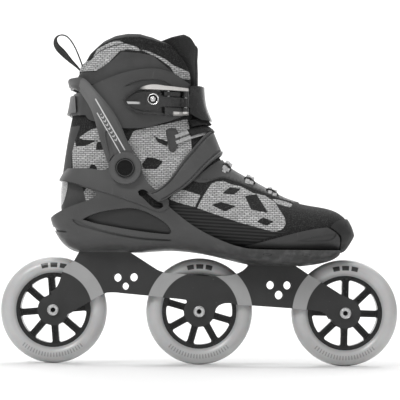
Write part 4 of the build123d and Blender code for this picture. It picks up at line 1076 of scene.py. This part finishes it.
def make_eyestays():
    """Smooth reinforced edges on both sides of the laces, stitched along the low side."""
    low_line = smooth_line(EYESTAY_LOW, 90)
    low_along, low_angle = locate(low_line)
    ridge_along = np.interp(np.linspace(0, 1, 90), [0, 1], [locate([(22, 196)])[0][0],
                                                           locate([(93.5, 151.8)])[0][0]])
    high_angle = front_edge(ridge_along) - 0.012
    share = edge_spacing(24, 30, 1.2)
    parts, seams = [], []
    for sign in (-1, 1):
        along = low_along[:, None] + share[None, :] * (ridge_along - low_along)[:, None]
        angle = low_angle[:, None] + share[None, :] * (high_angle - low_angle)[:, None]
        length = np.linspace(0, 100, 90)[:, None]
        lip = rounded(share[None, :] * 26, 1.2) * rounded((1 - share[None, :]) * 26, 1.2)
        lip = lip * rounded(length + 0.01, 1.5) * rounded(100.01 - length, 1.5)
        grow = 0.05 + 1.05 * lip
        parts.append(layer("eyestay", along, sign * angle, np.full_like(grow, -0.3), grow,
                           M["overlay"]))
        inset = 0.1
        line_along = low_along + inset * (ridge_along - low_along)
        line_angle = low_angle + inset * (high_angle - low_angle)
        seams.append(stitches("seam", line_along, sign * line_angle, np.full(90, 1.25),
                              M["thread"]))
    made = joined("eyestay_overlays", parts)
    ride_flex(made)
    made = joined("eyestay_stitching", seams)
    ride_flex(made)


def make_ears():
    """Stiff lace stays at the ankle, one on each side."""
    centre = np.mean(EAR, axis=0)
    closed = EAR + EAR[:1]
    rim = []
    for a, b in zip(closed, closed[1:]):
        for t in np.linspace(0, 1, 12, endpoint=False):
            rim.append(np.array(a) * (1 - t) + np.array(b) * t)
    rim = np.array(rim)
    for _ in range(5):
        rim = (np.roll(rim, 1, axis=0) + 2 * rim + np.roll(rim, -1, axis=0)) / 4
    steps = np.array([0.02, 0.2, 0.4, 0.6, 0.75, 0.85, 0.91, 0.95, 0.98, 1.0])
    parts, seams = [], []
    for sign in (-1, 1):
        flat = centre + steps[:, None, None] * (rim - centre)[None, :, :]
        along, angle = locate(flat.reshape(-1, 2))
        along, angle = (v.reshape(len(steps), -1) for v in (along, angle))
        along, angle = (np.append(v, v[:, :1], axis=1) for v in (along, angle))
        lip = rounded(np.broadcast_to((1 - steps[:, None]) * 9, angle.shape), 1.2)
        parts.append(layer("ear", along, sign * angle, np.full_like(angle, -0.3),
                           0.1 + 1.8 * lip, M["overlay"]))
        line = centre + 0.8 * (rim - centre)
        line_along, line_angle = locate(np.append(line, line[:1], axis=0))
        seams.append(stitches("seam", line_along, sign * line_angle, np.full(len(line) + 1, 1.95),
                              M["thread"]))
    made = joined("ankle_lace_stays", parts)
    ride_flex(made)
    made = joined("stay_stitching", seams)
    ride_flex(made)


def lace_run(name, along, reach, low, high):
    """One flat lace bent over the ridge at a place along the boot."""
    turn = np.linspace(-reach, reach, 41)
    lift = low + (high - low) * np.cos(turn / reach * math.pi / 2) ** 0.7
    line = boot_at(np.full(41, along), math.pi + turn, lift)
    above = boot_at(np.full(41, along), math.pi + turn, lift + 1.0)
    return tube(name, line, *run_frame(line, above), flat_profile(4.0, 1.5), M["lace"])


def ridge_run(line, count):
    """Evenly spaced surface places along a side-view line, up to where it meets the ridge."""
    along, angle = locate(smooth_line(line, 400))
    stop = int(np.argmax(angle > math.pi - 0.05)) or len(angle) - 1
    along, angle = along[:stop + 1], angle[:stop + 1]
    angle[-1] = math.pi
    steps = distances(boot_at(along, angle))
    places = np.linspace(0, steps[-1], count)
    return np.interp(places, steps, along), np.interp(places, steps, angle)


def side_run(name, line, lift, profile, material):
    """A flat run through side-view points to the ridge, mirrored on the other side."""
    along, angle = mirrored(*ridge_run(line, 24))
    run = boot_at(along, angle, lift)
    above = boot_at(along, angle, lift + 1.0)
    return tube(name, run, *run_frame(run, above), profile, material)


def make_laces():
    """Paired laces across the opening, their webbing loops and the ends in the slits."""
    runs, loops, tips = [], [], []
    for lace in ANKLE_LACES:
        runs.append(side_run("lace", lace, 1.5, flat_profile(3.8, 1.4), M["lace"]))
    for keeper in KEEPERS:
        loops.append(side_run("keeper", keeper, 2.6, flat_profile(7.4, 1.2), M["webbing"]))
    for x, z in LACES:
        place = locate([(x, z)])[0][0]
        reach = math.pi - front_edge(place) + 0.2
        for shift in (-2.5, 2.5):
            runs.append(lace_run("lace", place + shift, reach + 0.1, 1.5, 2.6))
        for sign in (-1, 1):
            turn = math.pi - sign * (reach - 0.04)
            line_along = place + np.linspace(-6.6, 6.6, 23)
            arch = 0.9 + 2.6 * np.cos(np.linspace(-1, 1, 23) * math.pi / 2) ** 0.5
            line = boot_at(line_along, np.full(23, turn), arch)
            across = unit(boot_at(line_along, np.full(23, turn + 0.02), arch) - line)
            ahead = unit(np.gradient(line, axis=0))
            loops.append(tube("loop", line, across, np.cross(across, ahead), flat_profile(4.0, 1.0),
                              M["webbing"]))
            slit_along, slit_angle = locate([(x - 3.2, z - 5.2)])
            turns = slit_angle[0] + np.linspace(-0.05, 0.05, 15)
            line = boot_at(np.full(15, slit_along[0]), sign * turns, np.full(15, 1.1))
            up = boot_at(np.full(15, slit_along[0]), sign * turns, np.full(15, 2.1)) - line
            ahead = unit(np.gradient(line, axis=0))
            tips.append(tube("tip", line, np.cross(ahead, up), up, flat_profile(4.2, 0.9),
                             M["lace"]))
    made = joined("laces", runs)
    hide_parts("lace_bands")
    ride_flex(made)
    made = joined("lace_loops", loops)
    ride_flex(made)
    made = joined("lace_ends", tips)
    ride_flex(made)


def make_strap():
    """Leather instep strap over the ridge, with piped edges and a stitched border."""
    count = 64
    high_along, high_angle = ridge_run(STRAP_HIGH, count)
    low_along, low_angle = ridge_run(STRAP_LOW, count)
    share = edge_spacing(44, STRAP_WIDTH, 1.4)
    length = np.linspace(0, 1, count)
    along = low_along[:, None] + share[None, :] * (high_along - low_along)[:, None]
    angle = low_angle[:, None] + share[None, :] * (high_angle - low_angle)[:, None]
    over_shell = 1 - smooth_step(length, 0.14, 0.30)
    base = 1.3 + 5.4 * over_shell
    along, angle = mirrored(along, angle)
    base = np.concatenate([base, base[-2::-1]])[:, None]
    length = np.concatenate([length, 2 - length[-2::-1]])[:, None]
    across = share[None, :] * STRAP_WIDTH
    lip = rounded(across, 1.4) * rounded(STRAP_WIDTH - across, 1.4)
    lip = lip * rounded(length * STRAP_HALF_LENGTH, 1.6)
    lip = lip * rounded((2 - length) * STRAP_HALF_LENGTH, 1.6)
    border = np.minimum(np.minimum(across, STRAP_WIDTH - across),
                        np.minimum(length, 2 - length) * STRAP_HALF_LENGTH)
    piping = 1.0 * np.exp(-((border - 1.3) / 0.8) ** 2)
    groove = -0.7 * np.exp(-((border - 3.2) / 0.7) ** 2)
    crown = 0.5 * np.sin(math.pi * np.clip(share[None, :], 0, 1))
    outer = base + 0.9 + (1.0 + piping + groove + crown) * lip
    inner = base + 0.5 * (1 - lip)
    made = layer("instep_strap_leather", along, angle, inner, outer, M["leather"])
    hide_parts("instep_strap")
    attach(made, "skate")
    seams = []
    for inset in (3.3 / STRAP_WIDTH, 1 - 3.3 / STRAP_WIDTH):
        line_along = along[:, 0] + inset * (along[:, -1] - along[:, 0])
        line_angle = angle[:, 0] + inset * (angle[:, -1] - angle[:, 0])
        seams.append(stitches("seam", line_along[3:-3], line_angle[3:-3], base[3:-3, 0] + 2.0,
                              M["thread"]))
    made = joined("strap_stitching", seams)
    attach(made, "skate")


def make_pull_loop():
    """Woven heel tape, twisted a little along its rear run."""
    line = smooth_line(LOOP_LINE, 120)
    line = np.stack([line[:, 0], np.zeros(120), line[:, 1]], axis=1)
    ahead = unit(np.gradient(line, axis=0))
    sideways = np.array([0.0, 1.0, 0.0])
    flat = np.cross(ahead, sideways)
    place = np.linspace(0, 1, 120)
    twist = np.radians(26) * np.exp(-((place - 0.32) / 0.17) ** 2)[:, None]
    across = np.cos(twist) * sideways + np.sin(twist) * flat
    up = np.cross(across, ahead)
    made = tube("pull_loop_tape", line, across, up, flat_profile(LOOP_WIDTH, 1.3, 20, 6.0),
                M["tape"])
    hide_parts("pull_loop")
    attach(made, "cuff")


def make_insole():
    """Crowned insole with a raised rim, lying in the boot."""
    x = np.linspace(-115, 124, 110)
    floor_x = [-120, -85, -52, -19, 9, 38, 66, 90, 109, 128]
    top = np.interp(x, floor_x, [121.5, 121.0, 120.9, 120.2, 118.2, 114.8, 113.0, 113.3, 114.0,
                                 116.4])
    side = np.interp(x, floor_x, [19, 31, 33, 35, 38, 43, 45, 41, 31, 15])
    side *= np.sqrt(np.clip(1 - ((x + 92) / 24) ** 2 * (x < -92), 0.02, 1))
    lean = np.interp(x, floor_x, [0, 0, 0, 0, 0, 0, 0.5, 1, 2.5, 3.5])
    share = edge_spacing(30, 80, 3.0) * 2 - 1
    y = lean[:, None] + share[None, :] * side[:, None]
    edge = np.abs(share[None, :])
    lift = 2.0 * edge ** 4 + 1.5 * smooth_step(-x, 40, 100)[:, None] * edge ** 3
    lip = rounded((1 - edge) * 40, 2.0) * rounded((x + 115.01)[:, None], 2.0)
    lip = lip * rounded((124.01 - x)[:, None], 2.0)
    upper_face = top[:, None] + lift - 2.0 * (1 - lip)
    lower_face = top[:, None] + lift - 2.0 - 1.8 * lip
    points = [np.stack([np.broadcast_to(x[:, None], y.shape), y, face], axis=2).reshape(-1, 3)
              for face in (upper_face, lower_face)]
    rows, columns = y.shape
    faces = grid_faces(rows, columns) + grid_faces(rows, columns, rows * columns, flip=True)
    made = tidy_mesh(mesh_object("insole_pad", np.concatenate(points), faces, M["foam"]), 0.05)
    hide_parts("insole")
    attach(made, "skate")


# ---- carried-over parts ----
def dress_cad():
    """Each CAD node whose slot has a material here gets it, and each tyre its own urethane."""
    special = {"buckle_base": "buckle_tray", "buckle_lever": "lever_plastic",
               "buckle_rivet": "rivet_steel", "lever_hub": "rivet_steel",
               "axle_bolts": "axle_steel", "axle_screws": "axle_steel"}
    for part in frame["record"]["subparts"]:
        node = frame["nodes"][part["node"]]
        slot = part["material_slot"]
        name = special.get(part["node"], slot)
        if slot == "tyre_urethane":
            wheel = part["node"].replace("tyre_", "")
            material = urethane("urethane_" + wheel, WHEELS[wheel])
        elif name in M:
            material = M[name]
        else:
            continue
        node.data.materials.clear()
        node.data.materials.append(material)


# ---- stage, light and camera ----
def make_stage():
    """Pale floor that turns up into a pale wall behind."""
    width, near, far, bend, height = 16.0, -8.0, 4.6, 1.5, 6.0
    line = [(near, 0.0)]
    for k in range(13):
        turn = math.pi / 2 * k / 12
        line.append((far - bend + bend * math.sin(turn), bend - bend * math.cos(turn)))
    line.append((far, height))
    points = []
    for y, z in line:
        points += [(-width / 2 / MM, y / MM, z / MM), (width / 2 / MM, y / MM, z / MM)]
    made = mesh_object("floor", points, grid_faces(len(line), 2), floor_paint())


def area_light(name, place, target, size, power):
    light = bpy.data.lights.new(name, "AREA")
    light.shape = "RECTANGLE"
    light.size, light.size_y = size
    light.energy = power
    made = bpy.data.objects.new(name, light)
    made.location = place
    direction = Vector(target) - Vector(place)
    made.rotation_euler = direction.to_track_quat("-Z", "Y").to_euler()
    bpy.context.scene.collection.objects.link(made)


def make_light():
    world = bpy.data.worlds.new("studio")
    world.use_nodes = True
    world.node_tree.nodes["Background"].inputs["Color"].default_value = (1.0, 1.0, 1.0, 1.0)
    world.node_tree.nodes["Background"].inputs["Strength"].default_value = 0.38
    bpy.context.scene.world = world
    area_light("key", (-0.9, -1.3, 1.5), (0, 0, 0.15), (0.9, 0.6), 20.0)
    area_light("fill", (1.3, -1.4, 0.8), (0, 0, 0.15), (0.8, 0.8), 4.0)
    area_light("top", (0.0, 0.2, 1.6), (0, 0, 0.2), (1.6, 0.6), 11.0)
    area_light("back", (0.2, 1.4, 1.0), (0, 0, 0.2), (1.4, 0.8), 5.0)
    area_light("wall", (0.0, 2.2, 3.0), (0, 4.6, 0.8), (6.0, 1.0), 150.0)


def make_camera():
    """Square side view of the outer side, rolled and tipped a little."""
    roll, pitch = 0.01172, math.atan(85 / 2221.8)
    right = Vector((math.cos(roll), 0, math.sin(roll)))
    level_up = Vector((-math.sin(roll), 0, math.cos(roll)))
    ahead = Vector((0, 1, 0)) * math.cos(pitch) + level_up * math.sin(pitch)
    up = level_up * math.cos(pitch) - Vector((0, 1, 0)) * math.sin(pitch)
    data = bpy.data.cameras.new("camera")
    data.lens = 200.0
    data.sensor_width = 36.0
    data.clip_start, data.clip_end = 0.05, 50.0
    made = bpy.data.objects.new("camera", data)
    turn = Matrix((right, up, -ahead)).transposed().to_4x4()
    made.matrix_world = Matrix.Translation((0.0005, -2.1, 0.0748)) @ turn
    bpy.context.scene.collection.objects.link(made)
    bpy.context.scene.camera = made


bpy.context.scene.view_settings.view_transform = "Standard"
make_camera()
make_stage()
make_light()
make_boot()
make_tongue()
make_eyestays()
make_ears()
make_laces()
make_strap()
make_pull_loop()
make_insole()
dress_cad()
